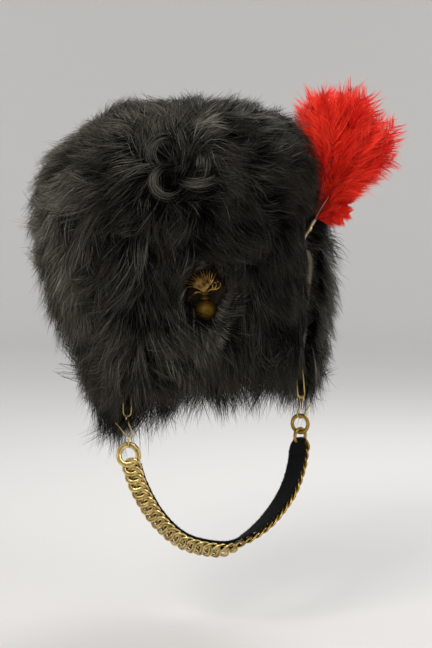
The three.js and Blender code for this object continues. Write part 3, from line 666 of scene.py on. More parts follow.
# A pelt lies on one side of the parting along Y. Its hair is made in parts: the name, the number
# of locks, and the faces that they grow on, from the faces' upright places, their height over the
# hem and whether they are on a cut edge.
PELTS = [
    {
        "node": "fur_front",
        "undercoat": "undercoat_front",
        "plane": PARTING["front"],
        "side": -1,
        "rim_up": 0.005,
        "parts": [
            ("hair_brow", 1010, lambda x, y, z, over, edge: (z < 0.14) & (y < 0) & ~edge),
            ("hair_fringe", 330, lambda x, y, z, over, edge: (over < 0.024) & (y < 0.02)),
            ("hair_front", 1050, lambda x, y, z, over, edge: (z >= 0.14) & (y < -0.02) & ~edge),
            ("hair_crown", 560, lambda x, y, z, over, edge: (z >= 0.14) & (y >= -0.02) & ~edge),
            ("hair_edge_front", 130, lambda x, y, z, over, edge: edge),
        ],
    },
    {
        "node": "fur_back",
        "undercoat": "undercoat_back",
        "plane": PARTING["back"],
        "side": 1,
        "rim_up": 0.01,
        "parts": [
            ("hair_nape_right", 560, lambda x, y, z, over, edge: (x < 0) & ~edge),
            ("hair_nape_left", 560, lambda x, y, z, over, edge: (x >= 0) & ~edge),
            ("hair_hem_back", 320, lambda x, y, z, over, edge: (over < 0.03) & ~edge),
            ("hair_edge_left", 250, lambda x, y, z, over, edge: edge & (x > 0)),
            ("hair_edge_right", 150, lambda x, y, z, over, edge: edge & (x < 0)),
        ],
    },
]
# Hair is left out this far in front of a fitting, but the top share of a loop is hidden in it.
CLEARED = {"loop_left": 0.05, "loop_right": 0.05, "plume_ferrule": 0.012, "plume_stem": 0.012}
LOOP_HIDDEN, CLEAR_MARGIN = 0.4, 0.001


def before_fittings(lines):
    """Which hairs would hang in front of a wire loop, or of the plume's ferrule and quill."""
    hangs = np.zeros(len(lines), bool)
    for fitting, in_front in CLEARED.items():
        low, high = np.array(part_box(fitting))
        top = high[2] + CLEAR_MARGIN
        if fitting.startswith("loop"):
            top = high[2] - LOOP_HIDDEN * (high[2] - low[2])
        within = lines > low - (CLEAR_MARGIN, in_front, CLEAR_MARGIN)
        within &= lines < (high[0] + CLEAR_MARGIN, high[1], top)
        hangs |= within.all(-1).any(1)
    return hangs


def hair_piece(rng, name, lines, tone, dropped=False):
    """Ribbons for the hairs of an array of locks that are not dropped, shaded by lock and hair."""
    shade = tone[:, None] + rng.normal(0, VARIES["lock_shade"], (len(lines), 1))
    shade = shade + rng.normal(0, VARIES["hair_shade"], lines.shape[:2])
    lines = lines.reshape(-1, HAIR["steps"], 3)
    clear = (from_badge(lines)[2] > BADGE_OPENING["bare"]).all(1)
    clear |= (lines[:, :, 1] > BADGE_OPENING["before"]).any(1)
    clear &= ~(before_fittings(lines) | np.ravel(dropped))
    lines, shade = lines[clear], shade.clip(0, 1).ravel()[clear] ** 1.55
    width = rng.uniform(*HAIR_WIDTH, len(lines))
    places = ribbons(rng, lines, width, from_axis(lines[:, HAIR["steps"] // 2]), roll=0.7)
    strand_piece(name, places, shade, black_fur)


def undercoat(pelt, hem):
    """The pelt's form drawn in half way to the shell, by 13 mm at most, and its rim drawn up.

    The rim rises behind the hair by an uneven height, which makes the ragged hem.
    """
    under = rounded_copy(pelt["node"], pelt["undercoat"], undercoat_fur)
    places = np.empty(3 * len(under.data.vertices))
    under.data.vertices.foreach_get("co", places)
    places = places.reshape(-1, 3)
    places = places - from_axis(places) * np.minimum(0.5 * fur_depth(places), 0.013)[:, None]
    if pelt["side"] < 0:
        show_welt(places, depth=0.009, clearance=0.001)
    low = hem(angle_round(places))
    by_rim = fade(places[:, 2] - low, 0, 0.024) * (low < 0.05)
    places[:, 2] += pelt["rim_up"] * by_rim * (1 + 0.5 * waves(places, 0.03, 9))
    under.data.vertices.foreach_set("co", places.ravel())


for pelt in PELTS:
    corners, normals, area, edge = pelt_form(pelt["node"], -pelt["side"])
    hem = hem_of(corners)
    undercoat(pelt, hem)
    middles = corners.mean(1)
    over_hem = middles[:, 2] - hem(angle_round(middles))
    for number, (name, locks, grows_on) in enumerate(pelt["parts"]):
        rng = np.random.default_rng(40 + number)
        mine = grows_on(*upright(middles).T, over_hem, edge)
        p, n = scatter(rng, corners[mine], normals[mine], area[mine], locks)
        # Under the hem the form looks down; its hair still lies as on the side above.
        n[:, 2] = np.maximum(n[:, 2], -0.15)
        on_edge = np.full(len(p), name.startswith("hair_edge"))
        lines, off_middle = hair_locks(rng, p, unit(n), on_edge, hem)
        across_badge = part_round_badge(lines) if pelt["side"] < 0 else False
        keep_off_welt(lines, pelt["plane"], pelt["side"])
        # Painted shade darkens a shag towards its edges, where it meets the next, and painted light
        # brightens hair on a cut edge.
        tone = tone_and_painted_light(p) * (1.15 - 0.5 * off_middle)
        tone += 0.18 * waves(p, 0.06, 8) + 0.16 * on_edge - 0.02
        hair_piece(rng, name, lines, tone, across_badge)

# A few curled wisps stand out at the whorl: arcs in X and Z, their turn in degrees from +X.
WISPS = [
    {"middle": (-0.043, 0.217), "radius": 0.0155, "turn": (65, 225)},
    {"middle": (-0.041, 0.192), "radius": 0.014, "turn": (85, 300)},
    {"middle": (-0.038, 0.208), "radius": 0.031, "turn": (22, -22)},
    {"middle": (-0.015, 0.220), "radius": 0.031, "turn": (-125, -58)},
]
WISP = {"hairs": 60, "steps": 9, "thick": 0.003, "lift": 0.003, "arch": 0.005}


def wisp_lines(rng, wisp, form):
    """Hairs of one wisp, n x steps x 3: arcs before the form, which rise in mid-run.

    Each hair has its own start and length along the arc, and strays from it towards its tip.
    """
    hairs = (WISP["hairs"], 1)
    s = rng.normal(0.05, 0.1, hairs) + np.linspace(0, 1, WISP["steps"]) * rng.uniform(0.4, 1.1, hairs)
    turn = np.radians(wisp["turn"][0] + (wisp["turn"][1] - wisp["turn"][0]) * s)
    gathered = WISP["thick"] * (0.8 + 0.2 * np.sin(math.pi * s.clip(0.04, 0.96)))
    out = wisp["radius"] + (rng.normal(0, 1, hairs) + rng.normal(0, 0.8, hairs) * s) * gathered
    x = wisp["middle"][0] + out * np.cos(turn)
    z = wisp["middle"][1] + out * np.sin(turn)
    hits = [form.ray_cast((a, -1, b), (0, 1, 0))[0] for a, b in zip(x.ravel(), z.ravel())]
    lift = WISP["lift"] + WISP["arch"] * np.sin(math.pi * s.clip(0, 1))
    y = np.array([hit[1] for hit in hits]).reshape(x.shape) - lift
    return np.stack([x, y + rng.normal(0, 0.5, hairs) * gathered, z], -1)


rng = np.random.default_rng(60)
corners = corner_places("fur_front").reshape(-1, 3)
form = BVHTree.FromPolygons(corners.tolist(), np.arange(len(corners)).reshape(-1, 3).tolist())
lines = np.concatenate([wisp_lines(rng, wisp, form) for wisp in WISPS])
width = rng.uniform(*HAIR_WIDTH, len(lines))
places = ribbons(rng, lines, width, from_axis(lines[:, WISP["steps"] // 2]), roll=0.7)
shade = rng.normal(0.27, 0.15, len(lines)).clip(0, 1)
strand_piece("hair_wisps", places, shade, black_fur)

# The hair in the hollow round the badge springs from the shell and falls outwards and down.
RUFF = {"locks": 200, "ring": (0.62, 2.4), "length": (0.02, 0.034), "from": -0.111, "tone": 0.3}


def ruff_lines(rng):
    """Locks from an oval ring about the badge: out along -Y, then away from it and sinking."""
    locks = RUFF["locks"]
    angle = rng.uniform(0, 2 * math.pi, locks)
    ring = np.sqrt(rng.uniform(*RUFF["ring"], locks))[:, None, None]
    s = np.linspace(0, 1, HAIR["steps"])
    length = rng.uniform(*RUFF["length"], (locks, HAIR["per_lock"], 1))
    open_out = ring * (1 + 0.55 * s**1.4) + rng.normal(0, 0.05, length.shape)
    about = angle[:, None, None] + rng.normal(0, 0.1, length.shape) + 0.35 * s**2
    z = BADGE_OPENING["z"] + open_out * BADGE_OPENING["half_height"] * np.sin(about)
    x = BADGE_OPENING["x"] + open_out * opening_half_width(z) * np.cos(about)
    return np.stack([x, RUFF["from"] - length * np.sin(1.5 * s) / 1.1, z - 0.012 * s**2], -1)


rng = np.random.default_rng(50)
hair_piece(rng, "hair_round_badge", ruff_lines(rng), np.full(RUFF["locks"], RUFF["tone"]))

# ---- Seam strip ----
# The welt where the two hides are sewn edge to edge: a narrow band of bare hide on the wearer's
# left, overcast with waxed thread.
STITCH = {
    "count": 27, "half_width": 0.0038, "radius": 0.00035, "slant": 0.0014, "proud": 0.0003, "bow": 0.0016,
    "steps": 7,
}
UNSTITCHED = {"foot": 0.004, "top": 0.006}  # left free at the ends of the welt


def frames(lines, hint, closed=False):
    """Axes across lines of n x steps x 3: side and out, with out nearest the hint."""
    if closed:
        run = unit(np.roll(lines, -1, 1) - np.roll(lines, 1, 1))
    else:
        run = unit(np.gradient(lines, axis=1))
    side = unit(np.cross(hint, run))
    return side, np.cross(run, side)


def swept(lines, hint, section, closed=False):
    """A section of (side, out) places carried along each of n lines: vertices and faces.

    A place is line + side * section[0] + out * section[1]. The section turns anticlockwise and
    may have one size for all or its own at every step; open tubes are closed by end faces.
    """
    side, out = frames(lines, hint, closed)
    places = lines[:, :, None] + side[:, :, None] * section[..., :1]
    places = places + out[:, :, None] * section[..., 1:]
    count, steps, sides, _ = places.shape
    ring = np.arange(steps if closed else steps - 1)[:, None]
    edge = np.arange(sides)
    here, ahead, beside = ring * sides, (ring + 1) % steps * sides, (edge + 1) % sides
    quads = np.stack([here + edge, here + beside, ahead + beside, ahead + edge], -1).reshape(-1, 4)
    start = steps * sides * np.arange(count)[:, None, None]
    faces = (quads + start).reshape(-1, 4).tolist()
    if not closed:
        ends = np.stack([edge[::-1], (steps - 1) * sides + edge])
        faces += (ends + start).reshape(-1, sides).tolist()
    return places.reshape(-1, 3), faces


def round_section(radius, sides):
    """Circle as anticlockwise places; radius is a number or has one value per step."""
    turn = 2 * math.pi * np.arange(sides) / sides
    ring = np.stack([np.cos(turn), np.sin(turn)], -1)
    return np.asarray(radius)[..., None, None] * ring


bare_hide = grained_finish(
    "bare_hide", (0.06, 0.048, 0.03), (0.17, 0.138, 0.09), scale=900, bump=0.0004, roughness=0.75,
)
welt = rounded_copy("seam_strip", "welt_hide", bare_hide, levels=2, grow=0.0004)

thread_finish = grained_finish(
    "waxed_thread", (0.06, 0.048, 0.03), (0.16, 0.13, 0.085), scale=3000, bump=0.0001, roughness=0.6,
)
crest = welt_crest()
level = np.linspace(crest[0][0] + UNSTITCHED["foot"], crest[0][-1] - UNSTITCHED["top"], STITCH["count"])
outermost = np.interp(level, *crest)
over = np.linspace(-1, 1, STITCH["steps"])
stitches = np.stack(
    np.broadcast_arrays(
        outermost[:, None] + STITCH["proud"] - STITCH["bow"] * over**4,
        WELT_MIDDLE + STITCH["half_width"] * over,
        level[:, None] + STITCH["slant"] * over,
    ),
    -1,
)
places, faces = swept(stitches, np.array([1.0, 0, 0]), round_section(STITCH["radius"], sides=6))
stitching = add_piece("welt_stitches", places, faces, thread_finish)
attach(stitching, "root")

# ---- Plume ----
# A red feather plume out of the socket. Limp feathers leave one quill in a narrow bundle and open
# into a broad fan; their fine soft barbs lie together in vanes.
# The feathers spring from the middle of the quill's cut end, a little inside the quill's box.
QUILL_TOP = np.array(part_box("plume_stem")[1]) - (0.0013, 0.0016, 0.0008)
# Outline of the fan: degrees up from the wearer's left, and reach from the quill's top.
FAN = {
    "turn": (-20, 0, 12, 22, 27, 33, 37, 45, 52, 64, 76, 88, 97, 105),
    "reach": (0.016, 0.028, 0.035, 0.044, 0.048, 0.056, 0.1, 0.122, 0.137, 0.142, 0.144, 0.143, 0.13, 0.09),
    "middle": 70,
}
SPRAYS = [
    {"node": "plume_upper", "name": "feathers_upper", "feathers": 56, "from": 62, "to": 102, "deep": 0.022},
    {"node": "plume_outer", "name": "feathers_outer", "feathers": 66, "from": 34, "to": 80, "deep": 0.022},
    {"node": "plume_lower", "name": "feathers_lower", "feathers": 28, "from": -4, "to": 34, "deep": 0.013},
]
FEATHER = {"steps": 9, "barbs": 105, "clump": 5, "barb_steps": 4, "barb": 0.029, "bare": 0.15}
ENDS_INSIDE = 0.54  # how far inside the fan's outline a long shaft ends, as a share of a barb
BARB_WIDTH = (0.0004, 0.0008)
RACHIS = {"root": 0.0006, "tip": 0.00015}
TOWARDS_FRONT = np.array([0.0, -1.0, 0.0])


def spray_lines(rng, spray):
    """Shafts of one spray, count x steps x 3: quadratic curves from the quill's top.

    They leave it bundled about the middle of the fan, and the longest end about half a barb's
    length inside its outline.
    """
    count = spray["feathers"]
    turn = rng.uniform(spray["from"], spray["to"], count)
    reach = np.interp(turn, FAN["turn"], FAN["reach"])
    reach = reach - ENDS_INSIDE * FEATHER["barb"] * reach / max(FAN["reach"])
    reach = reach * rng.uniform(0.3, 1, count) ** 0.5
    early = np.radians(FAN["middle"] + 0.5 * (turn - FAN["middle"]))
    late = np.radians(turn)
    aside = rng.uniform(-1, 1, count) * spray["deep"] * (reach / 0.12)
    end = np.stack([np.cos(late) * reach, aside, np.sin(late) * reach], -1)[:, None]
    bend = np.stack([np.cos(early) * reach, aside, np.sin(early) * reach], -1)[:, None] * 0.5
    bend = bend + rng.normal(0, 0.003, bend.shape)
    s = np.linspace(0, 1, FEATHER["steps"])[:, None]
    flop = rng.normal(0, 0.0035, (count, 1, 3)) * s**3
    return QUILL_TOP + 2 * s * (1 - s) * bend + s**2 * end + flop


def barb_lines(rng, shafts):
    """Barbs on both sides of every shaft, n x steps x 3, and each one's facing and shaft.

    They leave the shaft at 66 down to 44 degrees, bend forward and all to one side of the vane,
    and part into small clumps.
    """
    count, barbs = len(shafts), FEATHER["barbs"]
    at = np.linspace(FEATHER["bare"], 1, barbs) * (FEATHER["steps"] - 1)
    before = np.minimum(at.astype(int), FEATHER["steps"] - 2)
    part = (at - before)[:, None]
    base = shafts[:, before] * (1 - part) + shafts[:, before + 1] * part
    along = unit(np.gradient(shafts, axis=1))
    along = unit(along[:, before] * (1 - part) + along[:, before + 1] * part)
    facing = unit(TOWARDS_FRONT + rng.normal(0, 0.55, (count, 1, 3)))
    vane = unit(np.cross(along, facing))
    share = np.linspace(0, 1, barbs)[None, :, None]
    reach = np.linalg.norm(shafts[:, -1] - shafts[:, 0], axis=1)[:, None, None]
    length = FEATHER["barb"] * np.clip(reach / 0.115, 0.45, 1)
    length = length * rise(share, -0.2, 0.5) * (1 - 0.5 * share**4)
    curl = facing * rng.normal(0, 0.4, (count, 1, 1)) + along * rng.normal(0.25, 0.2, (count, 1, 1))
    u = np.linspace(0, 1, FEATHER["barb_steps"])[:, None]
    sets = []
    for side in (-1, 1):
        splay = np.radians(66 - 22 * share) + rng.normal(0, 0.06, (count, barbs, 1))
        way = unit(along * np.cos(splay) + side * vane * np.sin(splay))
        own = (length * rng.uniform(0.75, 1.1, splay.shape))[:, :, None]
        clumps = rng.normal(0, 0.1, (count, barbs // FEATHER["clump"], 3)).repeat(FEATHER["clump"], 1)
        drift = curl + clumps + rng.normal(0, 0.06, clumps.shape)
        lines = base[:, :, None] + own * (way[:, :, None] * u + drift[:, :, None] * u**2)
        sets.append(lines.reshape(-1, FEATHER["barb_steps"], 3))
    facings = np.broadcast_to(facing, base.shape).reshape(-1, 3)
    shaft = np.arange(count).repeat(barbs)
    return np.concatenate(sets), np.concatenate([facings] * 2), np.concatenate([shaft] * 2)


scarlet = strand_finish(
    "scarlet_feather",
    root=(0.55, 0.006, 0.002), dark=(0.66, 0.006, 0.002), light=(1, 0.052, 0.024),
    tip=(1, 0.07, 0.038), Roughness=0.6, Specular_IOR_Level=0.15,
)
shaft_finish = grained_finish(
    "scarlet_shaft", (0.45, 0.02, 0.012), (0.7, 0.06, 0.04), scale=2000, bump=0.0001, roughness=0.5,
)

for number, spray in enumerate(SPRAYS):
    rng = np.random.default_rng(70 + number)
    shafts = spray_lines(rng, spray)
    radius = np.linspace(RACHIS["root"], RACHIS["tip"], FEATHER["steps"])
    places, faces = swept(shafts, TOWARDS_FRONT, round_section(radius, sides=5)[None])
    shaft_piece = add_piece(spray["name"] + "_shafts", places, faces, shaft_finish)
    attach(shaft_piece, "root")

    barbs, facings, shaft = barb_lines(rng, shafts)
    # Each feather has its shade, its barbs differ a little, and broad waves run across them all.
    shade = (0.5 + rng.normal(0, 0.2, spray["feathers"]))[shaft] + rng.normal(0, 0.12, len(barbs))
    shade += 0.3 * waves(barbs[:, 0], 0.035, 21)
    places = ribbons(rng, barbs, rng.uniform(*BARB_WIDTH, len(barbs)), facings, roll=0.6)
    vanes = strand_piece(spray["name"], places, shade.clip(0, 1), scarlet)
    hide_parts(spray["node"])

# One feather in front shows the lower part of its pale shaft, and the quill's cut end stands free.
horn = grained_finish(
    "horn", (0.6, 0.38, 0.26), (0.85, 0.62, 0.46), scale=1500, bump=0.0001, roughness=0.4,
)
rounded_copy("plume_stem", "plume_quill", horn, grow=0.0001)
PALE_SHAFT = {"bend": (0.004, -0.007, 0.010), "end": (0.013, -0.009, 0.023), "root": 0.0006, "tip": 0.0002}
s = np.linspace(0, 1, FEATHER["steps"])[:, None]
path = QUILL_TOP + 2 * s * (1 - s) * np.array(PALE_SHAFT["bend"]) + s**2 * np.array(PALE_SHAFT["end"])
radius = np.linspace(PALE_SHAFT["root"], PALE_SHAFT["tip"], FEATHER["steps"])
places, faces = swept(path[None], TOWARDS_FRONT, round_section(radius, sides=7)[None])
pale = add_piece("pale_shaft", places, faces, horn)
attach(pale, "root")
socket = rounded_copy("plume_socket", "socket_leather", leather)

# ---- Brass ----
# Every metal piece is brass: bright and pale yellow on the chain's right half, browned with age
# on the badge, and darker on the wearer's left, which on the chain is painted shade.


def tarnish_group():
    """Tarnish: Scale, Groove and Amount in; Fac out, from broad stains, specks and hollows."""
    group = bpy.data.node_groups.new("tarnish", "ShaderNodeTree")
    for name in ("Scale", "Groove", "Amount"):
        group.interface.new_socket(name, in_out="INPUT", socket_type="NodeSocketFloat")
    group.interface.new_socket("Fac", in_out="OUTPUT", socket_type="NodeSocketFloat")
    given = group.nodes.new("NodeGroupInput")
    place = node(group, "TexCoord").outputs["Object"]
    scale = given.outputs["Scale"]
    stains = node(group, "TexNoise", {"Vector": place, "Scale": scale, "Detail": 8, "Roughness": 0.65})
    spread = node(group, "MapRange", {"Value": stains.outputs["Fac"], "From Min": 0.35, "From Max": 0.72})
    hollow = node(group, "Math", {0: given.outputs["Groove"], 1: 0.75}, operation="MULTIPLY")
    both = node(group, "Math", {0: spread.outputs["Result"], 1: hollow.outputs[0]}, operation="ADD")
    scaled = node(group, "Math", {0: both.outputs[0], 1: given.outputs["Amount"]}, operation="MULTIPLY")
    scaled.use_clamp = True
    out = group.nodes.new("NodeGroupOutput")
    group.links.new(scaled.outputs[0], out.inputs["Fac"])
    return group


TARNISH = tarnish_group()


def brass_finish(name, clean, brown, amount, smooth, dull):
    """Brass between its clean and its browned colour and gloss, with fine scratches."""
    material, tree, shader = new_finish(name, Metallic=1.0)
    groove = node(tree, "Attribute", attribute_name="groove").outputs["Fac"]
    tarnish = node(tree, "Group", node_tree=TARNISH)
    tarnish.inputs["Scale"].default_value = 160
    tarnish.inputs["Amount"].default_value = amount
    tree.links.new(groove, tarnish.inputs["Groove"])
    share = tarnish.outputs["Fac"]
    tree.links.new(blend(tree, share, clean, brown), shader.inputs["Base Color"])
    gloss = node(tree, "MapRange", {"Value": share, "To Min": smooth, "To Max": dull})
    tree.links.new(gloss.outputs["Result"], shader.inputs["Roughness"])
    place = node(tree, "TexCoord").outputs["Object"]
    scratches = node(tree, "TexNoise", {"Vector": place, "Scale": 900, "Detail": 4})
    relief = node(tree, "Bump", {"Height": scratches.outputs["Fac"], "Distance": 0.00008})
    tree.links.new(relief.outputs["Normal"], shader.inputs["Normal"])
    return material


# Clean and browned colour, amount of tarnish, and roughness where clean and where browned.
bright_brass = brass_finish("bright_brass", (0.9, 0.7, 0.3), (0.16, 0.095, 0.02), 0.8, 0.2, 0.5)
worn_brass = brass_finish("worn_brass", (0.74, 0.56, 0.22), (0.14, 0.08, 0.018), 0.75, 0.25, 0.5)
# Darker brass: on the chain's half on the wearer's left it is painted shade for links turned from the
# light.
aged_brass = brass_finish("aged_brass", (0.5, 0.32, 0.07), (0.1, 0.055, 0.01), 0.75, 0.3, 0.55)
antique_brass = brass_finish("antique_brass", (0.37, 0.22, 0.066), (0.03, 0.016, 0.006), 1.15, 0.3, 0.6)
browned_brass = brass_finish("browned_brass", (0.1, 0.058, 0.01), (0.035, 0.019, 0.004), 0.8, 0.6, 0.75)


def groove_layer(piece, values):
    """Writes how deep each vertex lies in a groove, 0 to 1, as the attribute `groove`."""
    layer = piece.data.attributes.new("groove", "FLOAT", "POINT")
    layer.data.foreach_set("value", np.asarray(values, np.float32).ravel())


ferrule = rounded_copy("plume_ferrule", "ferrule_brass", bright_brass)

# ---- Grenade badge ----
# A cast badge on a shank through the shell: a plain ball, a ringed neck, and a fan of flames
# whose outer tongues curl over.
BALL = 0.011  # the ball's radius
CAP_UP = np.array([-math.sin(LEAN), 0, math.cos(LEAN)])
CAP_LEFT = np.array([math.cos(LEAN), 0, math.sin(LEAN)])
lowest = np.array(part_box("grenade_badge")[0])
ball_height = lowest[2] + BALL
BALL_CENTRE = np.array([-ball_height * math.tan(LEAN), lowest[1] + BALL, ball_height])
# Neck above the ball: height over its centre and radius.
NECK = [
    (0.0104, 0.0041), (0.0112, 0.0043), (0.0116, 0.0053), (0.0126, 0.0056), (0.0134, 0.0053),
    (0.0138, 0.0042), (0.0150, 0.0038), (0.0158, 0.0041), (0.0162, 0.0051), (0.0170, 0.0054),
    (0.0178, 0.0051), (0.0182, 0.0042), (0.0190, 0.0034),
]
# The flames are wavy strands fanned about the neck in two rows, a scroll of three strands on the
# wearer's left and a curl on the right: angle from straight up, then its bend along the strand,
# its wave and the curl at its tip, all in degrees; length, half width and how far in front it
# lies, in mm; and how dark it is, 0 to 1.
STRANDS = [
    (-74 + 9.5 * i, 6, 28, 0, 25 + 4 * math.sin((i + 1) / 4.4) + i % 2, 1.1, 2.4, 0) for i in range(13)
]
STRANDS += [
    (-80 + 9.5 * i, -4, -20, 20, 25 + 5 * math.sin((i + 1) / 4.6), 1.5, -0.6, 1) for i in range(14)
]
STRANDS += [(106 - 9 * i, 0, 0, -340, 27 - 5 * i, 0.95, 2.6, 0) for i in range(3)]
STRANDS += [(-100, -6, 0, -70, 20, 1.7, 0.3, 0.4), (-92, -10, 0, -40, 16, 1.0, 1.2, 0)]
STRAND_STEPS, STRAND_SIDES, BALL_SIDES = 20, 8, 32
FLAME_FOOT = 0.0165  # height of the strands' feet over the ball's centre


def in_badge(left, up, front):
    """Places from the ball's centre: to the wearer's left, up the cap, and out to the front."""
    level = BALL_CENTRE + left[..., None] * CAP_LEFT + up[..., None] * CAP_UP
    return level + front[..., None] * TOWARDS_FRONT


# The ball and neck are one turned surface: a circle whose radius follows the height.
latitude = np.radians(np.linspace(-84, 66, 24))
height = np.concatenate([BALL * np.sin(latitude), [h for h, r in NECK]])
radius = np.concatenate([BALL * np.cos(latitude), [r for h, r in NECK]])
line = in_badge(0 * height, height, 0 * height)[None]
places, faces = swept(line, TOWARDS_FRONT, round_section(radius, BALL_SIDES)[None])
body = add_piece("badge_ball", places, faces, browned_brass)
# Dirt lies in the neck's waist and where it meets the ball.
groove = (hump(height, 0.0146, 0.0012) + hump(height, 0.0106, 0.0008)).clip(0, 1)
groove_layer(body, groove.repeat(BALL_SIDES))
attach(body, "root")
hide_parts("grenade_badge")

angle, bend, wave, curl, length, wide, forward, dark = np.array(STRANDS).T[..., None]
s = np.linspace(0, 1, STRAND_STEPS)
heading = angle * (0.5 + 0.5 * rise(s, 0, 0.45)) + bend * s
heading = np.radians(heading + wave * np.sin(7.2 * s) * s + curl * s**3)
step = length / 1000 / (STRAND_STEPS - 1)
left = np.cumsum(np.sin(heading), 1) * step
up = FLAME_FOOT + np.cumsum(np.cos(heading), 1) * step
front = (forward / 1000 + 0.0012) * np.sin(math.pi * (0.2 + 0.65 * s)) + 0 * heading
half = wide / 1000 * (0.72 + 0.45 * hump(s, 0.45, 0.3)) * (1 - 0.85 * s**3)
# A strand's section is a narrow oval with a sharp ridge in front.
turn = 2 * math.pi * np.arange(STRAND_SIDES) / STRAND_SIDES
section = np.stack([np.cos(turn), 1.15 * np.sin(turn)], -1) * half[..., None, None]
places, faces = swept(in_badge(left, up, front), TOWARDS_FRONT, section)
flames = add_piece("badge_flames", places, faces, antique_brass)
groove = np.maximum(hump(np.abs(np.cos(turn)), 1, 0.28), dark[..., None])
groove_layer(flames, np.broadcast_to(groove, (len(STRANDS), STRAND_STEPS, STRAND_SIDES)))
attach(flames, "root")

# ---- Loops, hooks and rings ----
# Bent brass wire: a long loop sewn to the band on each side and an S-hook in it, a fine wire link
# on the right, and on the left two plain rings between the hook and the chain.
WIREWORK = [  # node, name, finish, slot, and how far the wire is grown outwards
    ("loop_right", "wire_loop_right", worn_brass, "aged_brass", 0.00012),
    ("hook_right", "wire_hook_right", bright_brass, "bright_brass", 0.00012),
    ("wire_link", "fine_link", bright_brass, "bright_brass", 0.00012),
    ("loop_left", "wire_loop_left", worn_brass, "aged_brass", 0.00012),
    ("hook_left", "wire_hook_left", worn_brass, "aged_brass", 0.00012),
    ("ring_upper", "plain_ring_upper", aged_brass, "aged_brass", 0.0007),
    ("ring_lower", "plain_ring_lower", aged_brass, "aged_brass", 0.0007),
]
for wire, name, finish, slot, grow in WIREWORK:
    rounded_copy(wire, name, finish, grow=grow)

# ---- Chain ----
# Curb links of flat wire with two ridges, twisted so that they lie close; the chain ends in a
# larger ring of the same wire on the wearer's right.
LINKS = [f"chain_link_{i:02}" for i in range(1, 35)]
LINK = {"reach": 0.0073, "half": 0.0087, "curb": 0.00155, "broad": 0.0024, "thick": 0.0013, "steps": 28}
END_RING = {"reach": 0.0103, "half": 0.0108, "curb": 0.0012, "broad": 0.0031, "thick": 0.0015, "steps": 40}
LINK_SIDES = 12
BRIGHT_LINKS = 18  # the bright half of the chain ends below the chin


def link_frames(names, along_hints=None):
    """Middle of each link, and its axes along the chain, across it and square to its face.

    The face's axis is the direction in which the link's corners vary least. The way along the
    chain is from link to link, unless it is given by hints.
    """
    clouds = [np.unique(np.round(corner_places(name).reshape(-1, 3), 6), axis=0) for name in names]
    centres = np.array([cloud.mean(0) for cloud in clouds])
    faces = np.array([np.linalg.eigh(np.cov(cloud.T))[1][:, 0] for cloud in clouds])
    along = np.gradient(centres, axis=0) if along_hints is None else along_hints
    along = unit(along - faces * dot(along, faces))
    return centres, along, np.cross(faces, along), faces


def curb_rings(frame_of, size):
    """Closed curb rings: along * reach cos t + across * half sin t - face * curb sin 2t.

    Their section is an oval with a groove between two ridges, whose share of depth is given too.
    """
    centres, along, across, faces = (axis[:, None] for axis in frame_of)
    t = (2 * math.pi * np.arange(size["steps"]) / size["steps"])[:, None]
    lines = centres + along * size["reach"] * np.cos(t) + across * size["half"] * np.sin(t)
    lines = lines - faces * size["curb"] * np.sin(2 * t)
    turn = 2 * math.pi * np.arange(LINK_SIDES) / LINK_SIDES
    groove = hump(np.cos(turn), 0, 0.3)
    section = np.stack([np.cos(turn) * size["broad"], np.sin(turn) * size["thick"]], -1)
    section[:, 1] *= 1 - 0.6 * groove
    places, quads = swept(lines, np.broadcast_to(faces, lines.shape), section, closed=True)
    return places, quads, np.tile(groove, len(lines) * size["steps"])


def curb_piece(name, nodes, frame_of, size, finish):
    """One mesh of curb rings, which stands for these nodes."""
    places, quads, groove = curb_rings(frame_of, size)
    piece = add_piece(name, places, quads, finish)
    groove_layer(piece, groove)
    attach(piece, "root")
    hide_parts(*nodes)


links = link_frames(LINKS)
# The links past the chin get the darker brass as painted shade, where the chain turns from the light.
for name, chosen, finish in [
    ("chain_bright", slice(0, BRIGHT_LINKS), bright_brass),
    ("chain_shaded_half", slice(BRIGHT_LINKS, None), aged_brass),
]:
    curb_piece(name, LINKS[chosen], [axis[chosen] for axis in links], LINK, finish)
ring_frame = link_frames(["end_ring"], links[0][:1] - np.mean(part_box("end_ring"), 0))
curb_piece("chain_end_ring", ["end_ring"], ring_frame, END_RING, bright_brass)

# ---- Chin strap ----
# Black velvet over leather, sewn behind the chain. Its pile makes a fringe along the edges, and
# its upper end on the wearer's left is folded through the lower ring.
velvet, tree, shader = new_finish(
    "black_velvet", Roughness=0.95, Specular_IOR_Level=0.15, Sheen_Weight=0.08,
)
place = node(tree, "TexCoord").outputs["Object"]
nap = node(tree, "TexNoise", {"Vector": place, "Scale": 500, "Detail": 6})
colour = blend(tree, nap.outputs["Fac"], (0.001, 0.0011, 0.0014), (0.005, 0.0056, 0.007))
tree.links.new(colour, shader.inputs["Base Color"])
relief = node(tree, "Bump", {"Height": nap.outputs["Fac"], "Distance": 0.0005})
tree.links.new(relief.outputs["Normal"], shader.inputs["Normal"])
strap = rounded_copy("chain_strap", "strap_velvet", velvet, grow=0.0002)

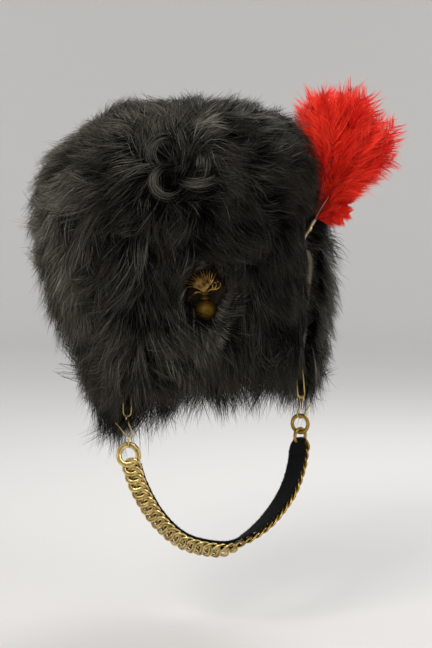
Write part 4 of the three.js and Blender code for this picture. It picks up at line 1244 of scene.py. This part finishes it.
# The fold goes up one side of the ring's foot, round above it and down the other side: its half
# depth there, how far its arms reach down on each side, and where they end under the bend; how
# far the bend stands over the ring's lowest place; and the strap's half width, its half width
# gathered into the ring, and its half thickness.
FOLD = {
    "wrap": 0.0048, "before": 0.012, "after": 0.009, "arms_to": -0.001, "over_foot": 0.0016,
    "broad": 0.0095, "gathered": 0.0065, "thick": 0.0009,
}
FOLD_STEPS = {"before": 6, "arc": 12, "after": 4, "round": 16}
link_along, link_face = links[1][-1], links[3][-1]
link_along = link_along * np.sign(link_along[2])
link_face = link_face * np.sign(link_face[1])  # turned to look back, towards +Y
low, high = np.array(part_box("ring_lower"))
ring_foot = np.array([(low[0] + high[0]) / 2, (low[1] + high[1]) / 2, low[2] + FOLD["over_foot"]])
arc = np.linspace(math.pi, 0, FOLD_STEPS["arc"])
forth = np.concatenate([[-1] * FOLD_STEPS["before"], np.cos(arc), [0.8] * FOLD_STEPS["after"]])
forth = forth * FOLD["wrap"]
rise_to = np.concatenate([
    np.linspace(-FOLD["before"], FOLD["arms_to"], FOLD_STEPS["before"]),
    np.sin(arc) * FOLD["wrap"],
    np.linspace(FOLD["arms_to"], -FOLD["after"], FOLD_STEPS["after"]),
])
fold_line = ring_foot + forth[:, None] * link_face + rise_to[:, None] * link_along
gather = rise(rise_to, -FOLD["before"], 0.001)
broad = FOLD["broad"] + (FOLD["gathered"] - FOLD["broad"]) * gather
turn = 2 * math.pi * np.arange(FOLD_STEPS["round"]) / FOLD_STEPS["round"]
flat_oval = np.stack([np.sign(np.cos(turn)) * np.abs(np.cos(turn)) ** 0.5, np.sin(turn)], -1)
section = flat_oval * np.stack([broad, 0 * broad + FOLD["thick"]], -1)[:, None]
across = np.cross(link_along, link_face)
outwards = np.cross(unit(np.gradient(fold_line, axis=0)), across)
places, faces = swept(fold_line[None], outwards[None], section[None])
fold = add_piece("strap_fold", places, faces, velvet)
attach(fold, "root")

# The pile: short stiff hairs over the whole strap, which lean every way.
PILE = {"hairs": 16000, "length": (0.0006, 0.0016), "width": (0.0002, 0.0004), "lean": 0.45}
OFF_NORMAL = (0.3, 0.2, 0.1)  # a hair may run along the normal, so its flat side is laid off this
rng = np.random.default_rng(90)
corners = corner_places("chain_strap")
cross = face_cross(corners)
normals = np.repeat(unit(cross)[:, None], 3, 1)
p, n = scatter(rng, corners, normals, np.linalg.norm(cross, axis=1), PILE["hairs"])
way = unit(n + rng.normal(0, PILE["lean"], p.shape))
tips = p + way * rng.uniform(*PILE["length"], (len(p), 1))
width = rng.uniform(*PILE["width"], len(p))
pile = ribbons(rng, np.stack([p, tips], 1), width, n + OFF_NORMAL, roll=3)
pile_finish = strand_finish(
    "velvet_pile",
    root=(0.002, 0.002, 0.003), dark=(0.004, 0.0045, 0.006), light=(0.016, 0.018, 0.022),
    tip=(0.012, 0.013, 0.016), Roughness=0.8, Specular_IOR_Level=0.2,
)
strand_piece("strap_pile", pile, rng.uniform(0, 1, len(p)), pile_finish)
